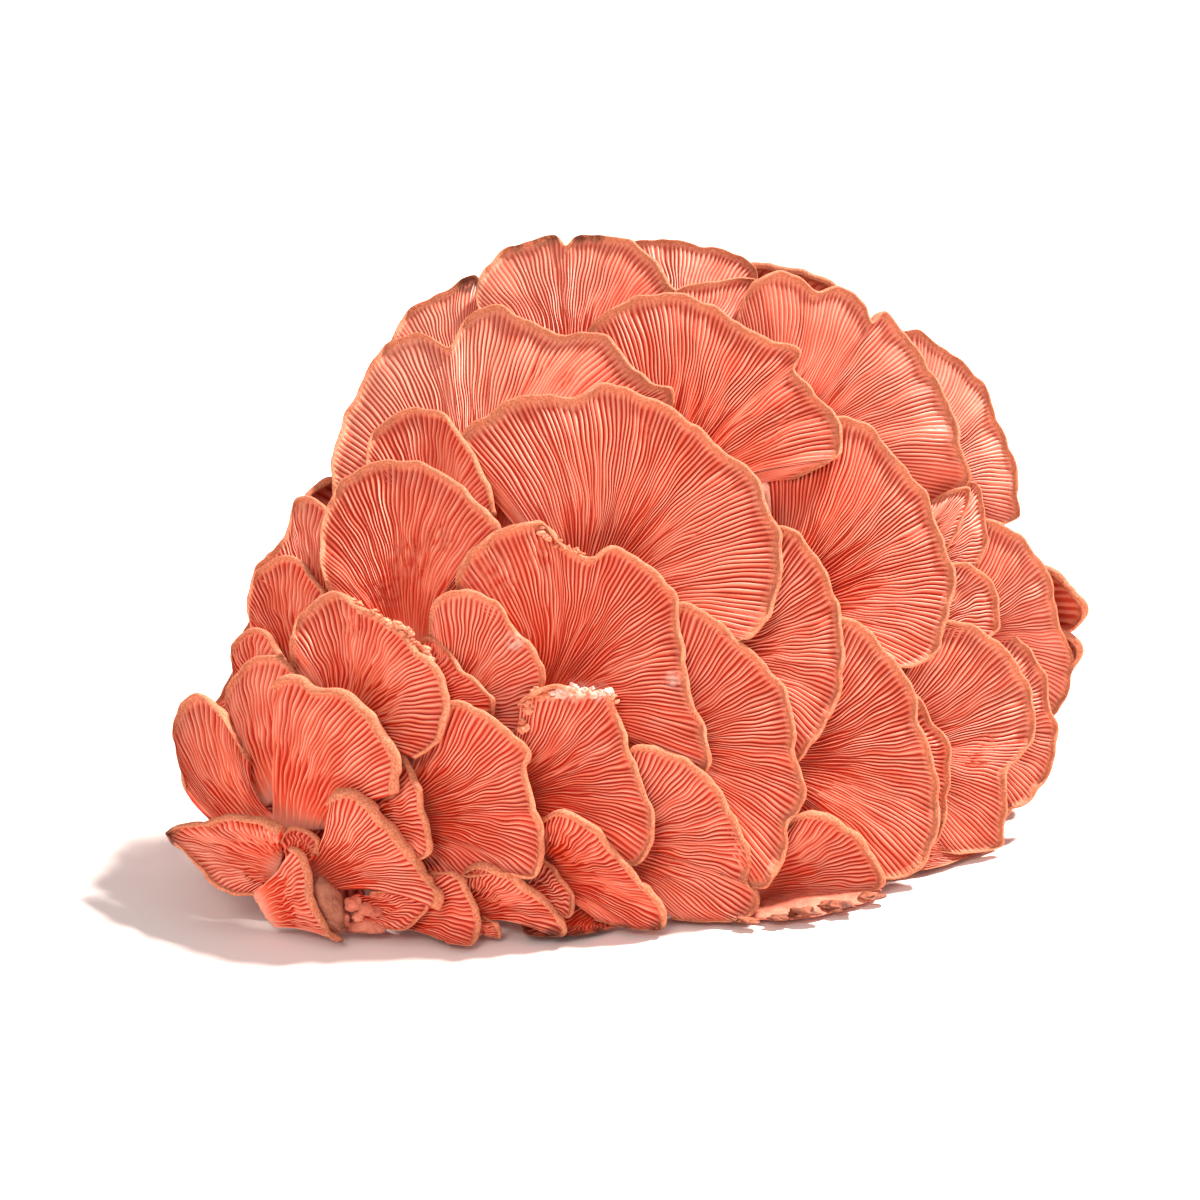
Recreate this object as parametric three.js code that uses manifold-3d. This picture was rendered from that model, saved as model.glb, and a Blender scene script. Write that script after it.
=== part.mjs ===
// Cluster of pink oyster mushrooms (Pleurotus djamor) lying on its trimmed foot.
// Millimetres, +Z up. The origin is in the middle of the flat cut under the foot.
//
// A cluster like this is one growth: some sixty mushrooms share a fleshy foot of fused stalks. Each
// mushroom is a fan: its gills leave the stalk end in a bundle, spread to a waved margin, and end at a
// smooth rounded lip. The fans lap like shingles, small ones low on the left over larger ones behind,
// with their gills to the front. The last fans show their smooth upper sides at the back.
import * as THREE from "three";
import { mergeVertices } from "three/addons/utils/BufferGeometryUtils.js";
import Module from "manifold-3d";

const wasm = await Module();
wasm.setup();

// ---------- the leaning frame in which the fans are laid out ----------
// A place in it is [across, up, depth]: the face leans back, and what lies deeper spreads wider.
const LEAN = THREE.MathUtils.degToRad(16); // how far the face of the cluster leans back
const SPREAD_REACH = 707; // depth over which the layout doubles in size
const FACE_MID = 90; // height on the face that stays put as deeper fans spread
const SHIFT = [-11.8, -86.3]; // across and from front to back, so that the origin is in the middle
const REST_SOFT = 5; // fans flatten against the resting surface below this height
const REST_GAP = 0.6; // and stop this far above it

// ---------- sizes shared by the mushrooms ----------
const FLESH_AT_STALK = 5; // from gill edge to upper side, at the stalk end
const GILL_DROP = 1.3; // depth of the furrows between the gill ridges
const RIDGE_PITCH = 10.6; // one coarse ridge stands for several real gills
const CLEARANCE = 0.4; // gap kept between neighbouring pieces
const GILL_ROWS = [0, 0.45, 0.86]; // gill side, from stalk end to the inside of the lip
const UPPER_ROWS = [0.9, 0.45, 0]; // upper side, back to the stalk end

const PINK = { color: 0xe8775a, roughness: 0.62, metalness: 0 };
const FOOT = { color: 0xd9a183, roughness: 0.8, metalness: 0 };

// How deep the exposed front of the cluster lies: a dome, foremost low on the left.
function frontDepth(across, up) {
  const shoulder = Math.max(0, -0.786 * across + 0.617 * up - 75);
  return 6 + (across + 45) ** 2 / 360 + (up - 15) ** 2 / 400 + shoulder ** 2 / 75;
}

// How deep the back of the cluster lies: a nearly upright wall, rounded off to the sides.
function backDepth(across, up) {
  const side = across - 12;
  return 142 - 0.25 * (up - 85) - (up - 85) ** 2 / 786 - side ** 2 / (side > 0 ? 250 : 135);
}

// From the leaning frame to the part's frame.
function place(across, up, depth) {
  const spread = 1 + depth / SPREAD_REACH;
  const rise = FACE_MID + (up - FACE_MID) * spread;
  return new THREE.Vector3(
    across * spread + SHIFT[0],
    rise * Math.sin(LEAN) + depth * Math.cos(LEAN) + SHIFT[1],
    rise * Math.cos(LEAN) - depth * Math.sin(LEAN),
  );
}

// Presses what would sink below the resting surface flat, just above it.
function rest(point) {
  const room = REST_SOFT - REST_GAP;
  if (point.z < REST_SOFT) point.z = REST_GAP + room * Math.exp((point.z - REST_SOFT) / room);
  return point;
}

// ---------- the mushrooms ----------
// root: stalk end [across, up]. margin: the lip's outline, clockwise as seen from the gill side;
// a third number tucks that stretch deeper, under a neighbour. sink: how much deeper the stalk end
// lies than the lip. stalk: half its width. curl: how far the lip rolls forward. lip: its thickness.
// back: how much deeper the whole fan lies. aim: the angle at which its gills leave the stalk, where
// that isn't towards the middle of the margin. also: a second small fan grown onto the first.
// step: a closer spacing of the coarse ridges. plain: no ridges.
const FRONT = {
  cap_front_diagonal: { root: [-73, 19], stalk: 4, sink: 9, curl: 2, lip: 3.7,
    margin: [[-68.5, 40], [-65.5, 42.4], [-62, 42.4], [-57, 38.5], [-50, 30.5], [-44, 22.5], [-39.7, 16],
      [-40.5, 12.3]] },
  cap_left_low_point: { root: [-84.5, 11.5], stalk: 6, sink: 5, curl: 2, lip: 2, aim: 30,
    margin: [[-77.5, 28.5], [-74.5, 26.5], [-73, 20], [-72, 14], [-69, 8.5], [-65, 2.5]] },
  cap_left_point: { root: [-80, 23], stalk: 4, sink: 8, curl: 1, lip: 3.4,
    margin: [[-87, 16, 3], [-93, 16.5], [-98, 20], [-104, 27], [-109, 32], [-101, 34.5], [-93, 36.3],
      [-86, 35.7], [-81, 33]] },
  curl_rosette: { root: [-76, 24], stalk: 3, sink: 6, curl: 1, lip: 1.8, step: 8,
    margin: [[-80, 30, 4], [-77.5, 33.5, 4], [-73.5, 33, 4], [-70.5, 30.5, 4], [-71.5, 27, 4]] },
  cap_rosette_large: { root: [-75, 32], stalk: 7, sink: 9, curl: 4, lip: 3.3, aim: 92,
    margin: [[-82, 69.5, 2], [-80, 71.5], [-76, 71.3], [-71, 68.7], [-63, 67], [-58, 62], [-53.5, 56],
      [-50.5, 49], [-51.7, 42]] },
  cap_left_outer: { root: [-83, 31], stalk: 5, sink: 9, curl: 2, lip: 3, aim: 150,
    margin: [[-104, 44], [-106.8, 56], [-105, 64.5], [-101, 67], [-96.5, 64], [-92, 57.5], [-89, 52, 3]] },
  cap_left_inner: { back: 3, root: [-80, 40], stalk: 5, sink: 10, curl: 3, lip: 1.9, aim: 115,
    margin: [[-93.5, 61, 1], [-93.7, 66], [-91.5, 71.5], [-86, 76], [-80.5, 76.2], [-77, 72.5],
      [-75, 66, 8]] },
  cap_low_first: { root: [-56, 12], stalk: 4, sink: 9, curl: 2, lip: 2,
    margin: [[-47, 20, 9], [-42, 22, 5], [-37, 22, 2], [-33, 18], [-30.5, 11], [-30, 5.5], [-32.5, 2],
      [-38, 2.6, 1]],
    also: { root: [-62, 13], stalk: 3, sink: 5, curl: 1, lip: 1.2, step: 8,
      margin: [[-57, 17, 5], [-49, 17, 5], [-43, 14, 3], [-45, 10, 2], [-50, 7.3, 2], [-56, 8.5, 3]] } },
  cap_low_second: { root: [-34, 12], stalk: 3.5, sink: 8, curl: 2, lip: 2.6,
    margin: [[-35.5, 21, 6], [-31, 24, 3], [-25, 22.5], [-18, 18], [-12, 13], [-8.4, 8], [-9.7, 5.3],
      [-12, 5, 1]],
    also: { root: [-34, 9], stalk: 2.5, sink: 5, curl: 1, lip: 1.5, step: 8,
      margin: [[-29, 11, 6], [-26, 9, 3], [-24.3, 5.5, 3], [-25.5, 2.6, 3], [-29, 3.5, 5]] } },
  bud_low_right: { root: [-19, 16], stalk: 3, sink: 6, curl: 1, lip: 1.8, step: 8,
    margin: [[-15, 26, 8], [-11, 23, 5], [-7.5, 18, 4], [-6, 13.5, 4], [-7.5, 10.5, 4], [-12, 11.5, 6]] },
  cap_middle_left: { root: [-51, 35], stalk: 7, sink: 12, curl: 3, lip: 2, aim: 12,
    margin: [[-45, 60, 10], [-39, 64.5, 4], [-33, 64.2], [-26, 60], [-18, 52.7], [-18.5, 47.5], [-17, 41],
      [-14.5, 32], [-14, 26], [-16.5, 20.7], [-24, 21.5, 2], [-34, 20.5, 6], [-44, 22, 11]] },
  cap_narrow_left: { root: [-62, 35], stalk: 5, sink: 8, curl: 2, lip: 1.9,
    margin: [[-56, 50, 9], [-50, 51.3, 5], [-47, 47.5, 2], [-45, 41], [-43, 32], [-42.6, 26],
      [-47, 25, 4], [-54, 27, 8]] },
  cap_low_third: { root: [-15, 22], stalk: 5, sink: 12, curl: 3, lip: 2.2,
    margin: [[-16, 35, 6], [-10, 37], [-4, 35], [2, 29.5], [8, 22], [13, 16], [16.5, 11], [15.3, 6],
      [8, 6.3, 3], [-1, 9, 8]],
    also: { plain: true, root: [0, 13], stalk: 4, sink: 13, curl: 0, lip: 1.4,
      margin: [[4, 6, 5], [-3, 4.2, 2], [-11, 3.8, 1], [-18, 5, 1.5], [-19.7, 8.5, 5]] } },
  cap_torn: { root: [-26, 40], stalk: 5, sink: 12, curl: 2, lip: 1.9,
    margin: [[-20.5, 64.5, 2], [-16, 67.5], [-11, 69], [-4, 67], [2, 67], [5, 61], [7.5, 53], [11, 43.5],
      [14, 34], [12.7, 28], [9, 23.5, 2], [0, 25, 9]] },
  cap_crumbled: { root: [-65, 57], stalk: 6, sink: 14, curl: 3, lip: 2.4,
    margin: [[-77, 73, 7], [-77.5, 81], [-74, 88], [-67, 92.4], [-60, 88.5], [-52, 84.5], [-45, 77],
      [-39.5, 71], [-38, 64], [-40, 55.5], [-46, 50.4, 2]] },
  cap_split_small: { root: [-48, 62], stalk: 4, sink: 9, curl: 1, lip: 1.7, step: 7,
    margin: [[-46, 79, 6], [-43, 81.3, 4], [-39, 79, 3], [-35.5, 74.3, 2], [-30, 69, 2], [-26, 64.5, 2],
      [-26.5, 61, 6]] },
  cap_bruised: { back: 1.5, root: [-41, 57], stalk: 5, sink: 12, curl: 2, lip: 1.7,
    margin: [[-42.7, 80, 5], [-42, 89], [-38, 92.4], [-31, 92.3], [-26, 90], [-21.5, 83.5], [-17, 78.5],
      [-13.8, 73], [-14.3, 67, 4], [-17, 60, 7], [-24, 55, 11]] },
  cap_low_fourth: { root: [-1, 29], stalk: 7, sink: 14, curl: 3, lip: 2.2,
    margin: [[4, 50, 9], [8, 53.3, 2], [13, 53.5], [19, 51.5], [26, 47.3], [31, 41], [35, 33], [38, 26],
      [37.3, 20], [40, 14.5], [36.3, 8.5], [28, 6.7, 2], [18, 8, 7]] },
  cap_centre: { root: [-15, 61], stalk: 7, sink: 15, curl: 3, lip: 2,
    margin: [[-35, 90, 10], [-36, 97, 2], [-30, 105], [-22, 109], [-15, 109.8], [-9, 104], [-3, 101],
      [4, 103.5], [12, 99], [19, 92], [20, 85], [21.5, 76], [23, 66], [27, 56], [27.4, 48], [19, 46, 9]] },
  cap_low_last: { root: [36, 18], stalk: 6, sink: 10, curl: 3, lip: 3.1,
    margin: [[45, 33, 9], [49, 36.5, 3], [56, 36.5], [63, 33], [68.5, 27], [71.5, 20.5], [70, 16],
      [61, 14.6, 2], [50, 13, 6]] },
  cap_middle_right: { root: [4, 53], stalk: 7, sink: 15, curl: 3, lip: 2,
    margin: [[12, 83, 11], [20, 89.5, 3], [27, 87], [34, 81], [41, 74.7], [47, 67], [49, 58], [49.3, 50],
      [52, 41.5], [47.7, 34], [46, 24], [41, 18], [32, 20, 9]] },
  cap_left_back_low: { back: 4, root: [-84, 60], stalk: 4, sink: 9, curl: 3, lip: 1.8, aim: 104,
    margin: [[-92, 71, 3], [-92, 79], [-89, 82.5], [-86, 83.3], [-82.7, 81], [-80, 76.3], [-77, 71, 6]] },
  cap_left_back_mid: { back: 4, root: [-75, 70], stalk: 5, sink: 10, curl: 3, lip: 1.6, aim: 106,
    margin: [[-87, 81, 4], [-88.3, 90], [-86, 97], [-80, 101.2], [-75, 100], [-71.5, 95.5],
      [-67.5, 90, 4], [-66, 83, 9]] },
  cap_upper_left: { root: [-48, 75], stalk: 7, sink: 15, curl: 3, lip: 2,
    margin: [[-66, 88, 8], [-69.5, 97], [-70, 106], [-67, 116.5], [-61, 122.8], [-52, 125.3], [-43, 124],
      [-35, 119], [-28, 112], [-24.5, 108], [-25, 98, 10]] },
  cap_left_back_high: { back: 4, root: [-71, 84], stalk: 5, sink: 10, curl: 2, lip: 1.8, aim: 108,
    margin: [[-86, 89, 6], [-87, 96.5, 2], [-82, 102.5], [-78, 108], [-76.5, 115], [-72.5, 116],
      [-68, 112.7, 2], [-64, 104, 10]] },
  cap_half_hidden: { root: [-42, 98], stalk: 6, sink: 13, curl: 3, lip: 1.9,
    margin: [[-58, 119, 8], [-58.3, 128], [-56, 133], [-52.5, 136], [-47, 138.2], [-40.5, 137.6],
      [-36.5, 133.5], [-32, 127], [-28, 119], [-26, 112, 4]] },
  cap_great: { root: [-6, 84], stalk: 8, sink: 17, curl: 4, lip: 2.1,
    margin: [[-33, 121, 10], [-35, 131, 2], [-28, 137], [-20, 141.4], [-10, 141.3], [-5, 141.5],
      [1, 144.8], [8, 142.5], [15, 140], [24, 134], [33, 126], [39, 122], [42, 114], [45.6, 106],
      [45.5, 95], [43, 87], [37.7, 80.5], [28, 80, 9]] },
  cap_right_crescent: { root: [22, 76], stalk: 7, sink: 15, curl: 3, lip: 2,
    margin: [[38, 107, 12], [46, 109, 2], [51, 105.5], [56, 98.5], [59.5, 90], [61, 82], [61, 71],
      [59, 63], [54, 55], [49.7, 49.7, 3], [41, 49, 12]] },
  cap_right_low: { root: [37, 50], stalk: 7, sink: 14.5, curl: 3, lip: 2,
    margin: [[52, 86, 11], [61, 86.3, 2], [67, 83], [73, 76], [78.5, 68.5], [80.3, 59], [83.5, 51],
      [85.2, 40], [84.5, 31], [81, 23.7], [76.5, 20.3], [69, 20.3, 3], [58, 24, 11]],
    also: { plain: true, root: [68, 28], stalk: 5, sink: 8, curl: 0, lip: 1.6,
      margin: [[94, 33, 12], [100, 27, 9], [94, 24, 7], [87, 21.5, 6], [80, 20.3, 6], [73, 19.8, 8]] } },
  cap_right_sliver: { root: [64, 50], stalk: 5, sink: 10, curl: 1, lip: 1.6,
    margin: [[73, 66, 9], [78.5, 67.3, 4], [83, 60.5, 3], [88, 53.5, 2], [88, 50, 2], [87.3, 42, 3],
      [86.5, 35, 3], [83, 28, 5], [75, 29, 10]] },
  cap_top_left_great: { back: 4, root: [-33, 101], stalk: 13, aim: 88, sink: 16, curl: 3, lip: 2,
    margin: [[-65, 110, 8], [-67.3, 122], [-64.5, 134.5], [-59.5, 144.5], [-56, 151.5], [-51, 155.3],
      [-45, 157], [-38, 153.8], [-32.8, 161.3], [-26, 164], [-18, 160.2], [-9, 156.7], [1, 157],
      [6, 151.5], [13, 144.7], [18.5, 143], [18, 138, 3], [9, 130, 11]] },
  cap_top_middle: { back: 3, root: [12, 110], stalk: 8, sink: 16, curl: 4, lip: 1.9,
    margin: [[-7, 147, 14], [-4, 156, 8], [1, 162, 4], [9, 166, 1], [19, 167], [27, 164.5], [32, 161.5],
      [40, 156.5], [50.5, 152.5], [49, 148], [54, 142], [60, 135], [61, 129], [59, 125.5], [48, 120, 9]] },
  cap_right_great: { root: [41, 86], stalk: 8, sink: 16, curl: 3, lip: 1.9,
    margin: [[42, 126, 14], [51, 133, 9], [60, 136.2, 2], [67, 134.2], [74, 126], [82, 116.5],
      [84, 110.5], [86, 105], [89, 97], [89, 92], [86.8, 85], [85, 77.5], [79, 73.4], [73, 73, 3],
      [63, 73, 11]] },
  ribbons_right: { root: [78, 98], stalk: 4, sink: 9, curl: 1, lip: 1.7, step: 7,
    margin: [[87, 118, 13], [94, 119.5, 7], [96, 113, 6], [97, 106, 6], [94.7, 98.5, 7], [89, 95, 12]],
    also: { root: [76, 101], stalk: 2, sink: 9, curl: 1, lip: 1.9, step: 7,
      margin: [[83, 115, 9], [89, 118, 4], [93, 118.2, 3], [91.5, 112, 3], [90, 107.5, 4],
        [86.5, 102, 5]] } },
  bud_right_mid: { root: [77, 82], stalk: 4, sink: 8, curl: 2, lip: 1.8,
    margin: [[82, 97, 9], [88, 99.3, 4], [93, 99, 3], [98, 95, 3], [100.3, 88, 3], [99.8, 83, 4],
      [96, 79, 7]] },
  cap_right_outer: { back: 5, root: [62, 51], stalk: 7, sink: 14, curl: 3, lip: 1.9,
    margin: [[77, 82, 10], [86, 85.2, 2], [93, 84], [100, 79.5], [106, 72], [109, 63], [108.3, 54.5],
      [104.5, 50], [102.5, 48.5], [102, 41], [101.5, 33], [99.8, 27], [90, 26, 3], [79, 28, 10]] },
  cap_top: { back: 6, root: [-8, 136], stalk: 8, sink: 16, curl: 4, lip: 1.8,
    margin: [[-28, 156, 10], [-31, 165, 3], [-30, 171], [-25, 177], [-17, 180.2], [-11.4, 181.2],
      [-8.6, 179.2], [-6, 181], [3, 181.3], [9, 179.3], [14, 175], [18, 169], [22, 166, 3], [20, 157, 11]] },
  cap_top_right: { back: 4, root: [38, 118], stalk: 8, sink: 16, curl: 4, lip: 1.9,
    margin: [[33, 157, 10], [37, 168, 3], [43, 172.3], [50, 171], [55, 167.3], [60, 169], [66, 164.5],
      [68.5, 160], [71.3, 162.2], [78, 155], [84, 146], [89, 136], [91.5, 125], [93, 120, 3],
      [84, 111, 12]] },
  cap_right_rear: { back: 8, root: [84, 58], stalk: 5, sink: 10, curl: 2, lip: 1.7,
    margin: [[92, 83, 13], [100.5, 84, 5], [106, 79.5, 2], [111.5, 72, 1], [112.5, 65], [114.7, 57],
      [113.5, 49.5], [110.5, 43, 1], [104, 37.7, 3], [95, 37, 11]] },
  cap_right_far: { back: 4, root: [80, 78], stalk: 6, sink: 13, curl: 3, lip: 1.8,
    margin: [[87, 107, 13], [96, 110.4, 5], [103, 108, 2], [109, 102], [113.5, 94], [114.5, 86, 3],
      [118.5, 75, 9], [117, 67, 12], [113, 60.5, 14], [103, 57, 17]] },
  cap_top_behind: { back: 4, root: [18, 142], stalk: 6, sink: 8, curl: 4, lip: 1.7,
    margin: [[2, 172, 17], [9, 179.5, 12], [18, 180, 11], [27, 178.3, 11], [35, 176.3, 11],
      [39, 172.5, 13], [39, 163, 18]],
    also: { plain: true, root: [22, 140], stalk: 5, sink: 10, curl: 3, lip: 1.6,
      margin: [[11, 160, 13], [19, 167.5, 7], [26, 169.6, 6], [33, 170.3, 6], [39, 170.3, 8],
        [41, 160, 13]] } },
  cap_top_left_behind: { back: 6, root: [-34, 135], stalk: 5, sink: 9, curl: 3, lip: 1.7,
    margin: [[-54, 146, 10], [-51.5, 157, 5], [-46, 164, 4], [-38, 167.5, 4], [-34.5, 170.5, 4],
      [-31, 171.3, 5], [-28.5, 164, 12]] },
  cap_far_right_top: { back: 7, root: [68, 114], stalk: 6, sink: 12, curl: 3, lip: 1.8,
    margin: [[69, 155, 15], [78, 157.8, 8], [84, 154.5, 7], [92, 148.5, 6], [96.5, 143.5, 5],
      [100, 134, 5], [104, 125, 5], [104.8, 117, 6], [104.3, 110.5, 8], [93, 106, 15]] },
};

// Between the two shells the edges of more fans show, one behind the other.
const SIDES = {
  cap_side_left_low: { back: 20, root: [-64, 42],
    margin: [[-58, 14], [-72, 14], [-84, 20], [-93, 30], [-99, 42], [-101, 53], [-94, 61]] },
  cap_side_left_high: { back: 24, root: [-60, 72],
    margin: [[-96, 50], [-100, 58], [-93, 70], [-90, 80], [-86, 91], [-84, 100], [-76, 108]] },
  cap_side_left_floor: { back: 34, root: [-44, 52],
    margin: [[-26, 26], [-40, 23], [-60, 25], [-78, 30], [-90, 38], [-96, 50], [-94, 62]] },
  cap_side_right_low: { back: 27, root: [76, 50],
    margin: [[106, 78], [109, 66], [110, 54], [106, 44], [101, 34], [94, 27], [80, 25]] },
  cap_side_right_high: { back: 30, root: [82, 74],
    margin: [[104, 106], [111, 96], [114, 84], [114, 70], [113, 58], [109, 46], [100, 38]] },
  cap_side_right_floor: { back: 36, root: [66, 58],
    margin: [[105, 62], [108, 50], [101, 39], [92, 31], [76, 27], [58, 26], [40, 28]] },
};
for (const fan of Object.values(SIDES)) {
  Object.assign(fan, { plain: true, stalk: 7, sink: 8, curl: 3, lip: 2 });
}

// The rear fans hang from the back of the foot with their upper sides outwards.
const REAR = {
  cap_rear_top: { root: [20, 122],
    margin: [[-6, 156, 8], [4, 167, 3], [20, 172], [34, 173], [41, 173.8], [48, 172.4], [56, 170.3],
      [63, 163], [65, 152]] },
  cap_rear_top_left: { back: 8, root: [-6, 114],
    margin: [[-54, 126, 2], [-52, 138, -2], [-44, 148, -3], [-35, 155, -2], [-24, 160], [-12, 163.5],
      [0, 161], [6, 152]] },
  cap_rear_left: { root: [-14, 92],
    margin: [[-62, 70, 8], [-72, 82, 3], [-77, 98], [-75.5, 110], [-71, 118], [-66, 120.6], [-57, 122],
      [-46, 120]] },
  cap_rear_right_top: { back: 9, root: [38, 110],
    margin: [[58, 158, 8], [70, 156, 3], [81, 148], [88, 138], [91, 126], [91, 114], [86, 105]] },
  cap_rear_right: { back: 8, root: [46, 90],
    margin: [[90, 114, 8], [98, 108, 3], [105, 102.5], [110.5, 98.5], [114.5, 96], [118.5, 92],
      [121.5, 86], [118.5, 82.8], [108, 80]] },
  cap_rear_right_low: { back: 3, root: [44, 74],
    margin: [[106, 87, 4], [114, 83, 2], [120.3, 77.5], [118, 73], [112, 64], [104, 55], [92, 49],
      [78, 48]] },
  cap_rear_low: { root: [16, 76],
    margin: [[76, 60, 4], [69, 52, 2], [52, 48], [30, 47], [8, 47], [-10, 50], [-20, 57]] },
  cap_rear_low_left: { root: [-12, 78],
    margin: [[-10, 52, 6], [-28, 48, 3], [-46, 48], [-60, 53], [-70, 62], [-74, 73], [-70, 84]] },
  cap_rear_heart_high: { root: [8, 96],
    margin: [[-30, 104, -4], [-30, 122, -8], [-16, 138, -8], [4, 146, -8], [26, 144, -8], [46, 134, -8],
      [58, 118, -8], [56, 102, -8]] },
  cap_rear_heart_low: { back: 5, root: [14, 92],
    margin: [[62, 104, -4], [66, 88, -8], [56, 68, -8], [34, 58, -8], [8, 57, -8], [-18, 64, -8],
      [-34, 80, -8], [-34, 98, -4]] },
};
for (const fan of Object.values(REAR)) {
  Object.assign(fan, { rear: true, plain: true, stalk: 8, sink: 14, curl: 4, lip: 2.2 });
}

// ---------- one mushroom ----------
// A repeatable number from 0 to 1 for a fan's own waves.
function chance(seed, index) {
  const mixed = Math.sin(seed * 12.9898 + index * 78.233) * 43758.5453;
  return mixed - Math.floor(mixed);
}

// A smooth curve through the margin's points, by chord length: a cubic between neighbours.
function marginCurve(points) {
  const knots = [0];
  for (let i = 1; i < points.length; i++) {
    knots.push(knots[i - 1] + Math.hypot(points[i][0] - points[i - 1][0], points[i][1] - points[i - 1][1]));
  }
  const last = points.length - 1;
  const value = (i, k) => points[i][k] ?? 0;
  const slope = (i, k) => {
    const [before, after] = [Math.max(0, i - 1), Math.min(last, i + 1)];
    return (value(after, k) - value(before, k)) / (knots[after] - knots[before]);
  };
  const at = (u) => {
    const along = u * knots[last];
    let i = 0;
    while (i < last - 1 && along > knots[i + 1]) i++;
    const span = knots[i + 1] - knots[i];
    const t = (along - knots[i]) / span;
    return [0, 1, 2].map((k) =>
      value(i, k) * (1 + 2 * t) * (1 - t) ** 2 + value(i + 1, k) * t * t * (3 - 2 * t)
      + span * (slope(i, k) * t * (1 - t) ** 2 - slope(i + 1, k) * t * t * (1 - t)));
  };
  return { at, length: knots[last] };
}

// The surface through a fan's gill edges: u runs along the margin, v from the stalk end to the lip.
function fanSurface(fan, seed) {
  const { at, length } = marginCurve(fan.margin);
  const middle = at(0.5);
  const aim = fan.aim !== undefined
    ? THREE.MathUtils.degToRad(fan.aim)
    : Math.atan2(middle[1] - fan.root[1], middle[0] - fan.root[0]);
  const [ahead, aside] = [[Math.cos(aim), Math.sin(aim)], [Math.sin(aim), -Math.cos(aim)]];
  const wave = (u) => [2.3, 4.1, 7.3].reduce((sum, turns, i) =>
    sum + Math.sin(2 * Math.PI * (turns * u * length / 90 + chance(seed, i))) / (i + 1.4), 0);
  const point = (u, v) => {
    const edge = at(u);
    const start = [0, 1].map((k) => fan.root[k] + aside[k] * fan.stalk * (2 * u - 1));
    const run = (edge[0] - start[0]) * ahead[0] + (edge[1] - start[1]) * ahead[1];
    const reach = Math.hypot(edge[0] - start[0], edge[1] - start[1]);
    const lead = 0.5 * Math.max(0.25 * reach, run);
    const bend = [0, 1].map((k) => start[k] + ahead[k] * lead);
    const [across, up] = [0, 1].map((k) =>
      (1 - v) ** 2 * start[k] + 2 * v * (1 - v) * bend[k] + v * v * edge[k]);
    const rise = Math.max(0, (v - 0.6) / 0.4) ** 2;
    const behind = fan.sink * (1 - Math.min(v, 1)) ** 1.7;
    const forward = fan.curl * rise + 1.1 * wave(u) * v * v;
    const depth = fan.rear
      ? backDepth(across, up) - behind + (fan.back ?? 0) - edge[2] * v - forward
      : frontDepth(across, up) + behind + (fan.back ?? 0) + edge[2] * v - forward;
    return place(across, up, depth);
  };
  return { point, length };
}

// Directions at a place on the surface: along the margin, outwards to it, and out of the gill side.
function directions(point, u, v) {
  const e = 0.01;
  const along = point(Math.min(1, u + e), v).sub(point(Math.max(0, u - e), v)).normalize();
  const outwards = point(u, v + e).sub(point(u, v - e)).normalize();
  const normal = along.clone().cross(outwards).normalize();
  return { along, outwards, normal };
}

// A fan's closed solid: one section for each ridge and furrow, from the stalk end over the lip and
// back. grow swells it all round, for cutting its neighbours clear.
function mushroomSolid(fan, seed, grow = 0) {
  const { point, length } = fanSurface(fan, seed);
  const columns = fan.plain
    ? Math.max(4, Math.round(length / RIDGE_PITCH))
    : Math.max(8, 2 * Math.round(length / (fan.step ?? RIDGE_PITCH)));
  const rows = GILL_ROWS.length + 1 + UPPER_ROWS.length;
  const vertices = [];
  const put = (column, v, depth, side) => {
    const { along, outwards, normal } = directions(point, column / columns, v);
    const edge = column === 0 ? -grow : column === columns ? grow : 0;
    const end = v === 0 ? -grow : v === 1 ? grow : 0;
    vertices.push(rest(point(column / columns, v)
      .addScaledVector(normal, grow * side - depth)
      .addScaledVector(along, edge)
      .addScaledVector(outwards, end)));
  };
  for (let i = 0; i <= columns; i++) {
    const furrow = i % 2 && !grow && !fan.plain ? GILL_DROP : 0;
    for (const v of GILL_ROWS) put(i, v, v > 0 ? furrow : 0, 1);
    put(i, 1, fan.lip / 2, 0);
    for (const v of UPPER_ROWS) put(i, v, fan.lip + (FLESH_AT_STALK - fan.lip) * (1 - v) ** 1.5, -1);
  }
  const faces = [];
  for (let i = 0; i < columns; i++) {
    for (let j = 0; j < rows; j++) {
      const [a, b] = [i * rows + j, i * rows + ((j + 1) % rows)];
      if (j < GILL_ROWS.length) faces.push(a, a + rows, b, b, a + rows, b + rows);
      else faces.push(a, a + rows, b + rows, a, b + rows, b);
    }
  }
  const end = columns * rows;
  for (let j = 1; j < rows - 1; j++) {
    faces.push(0, j, j + 1, end, end + j + 1, end + j);
  }
  return solid(vertices, faces);
}

// ---------- meshes and solids ----------
function solid(vertices, faces) {
  return welded(new THREE.BufferGeometry().setFromPoints(vertices).setIndex(faces));
}

function welded(geometry) {
  const merged = mergeVertices(geometry, 1e-3);
  return new wasm.Manifold(new wasm.Mesh({
    numProp: 3,
    vertProperties: merged.attributes.position.array,
    triVerts: new Uint32Array(merged.index.array),
  }));
}

function geometryOf(made) {
  const { numProp, vertProperties, triVerts } = made.getMesh();
  const positions = new Float32Array((vertProperties.length / numProp) * 3);
  for (let i = 0; i < positions.length / 3; i++) {
    positions.set(vertProperties.subarray(i * numProp, i * numProp + 3), i * 3);
  }
  return new THREE.BufferGeometry()
    .setAttribute("position", new THREE.BufferAttribute(positions, 3))
    .setIndex([...triVerts]);
}

// The largest connected body of a solid, without loose scraps or sealed hollows.
function mainBody(made) {
  let body = made;
  for (let pass = 0; pass < 3; pass++) {
    body = body.decompose().reduce((best, piece) => (piece.volume() > best.volume() ? piece : best));
    body = welded(geometryOf(body));
  }
  return body;
}

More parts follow.
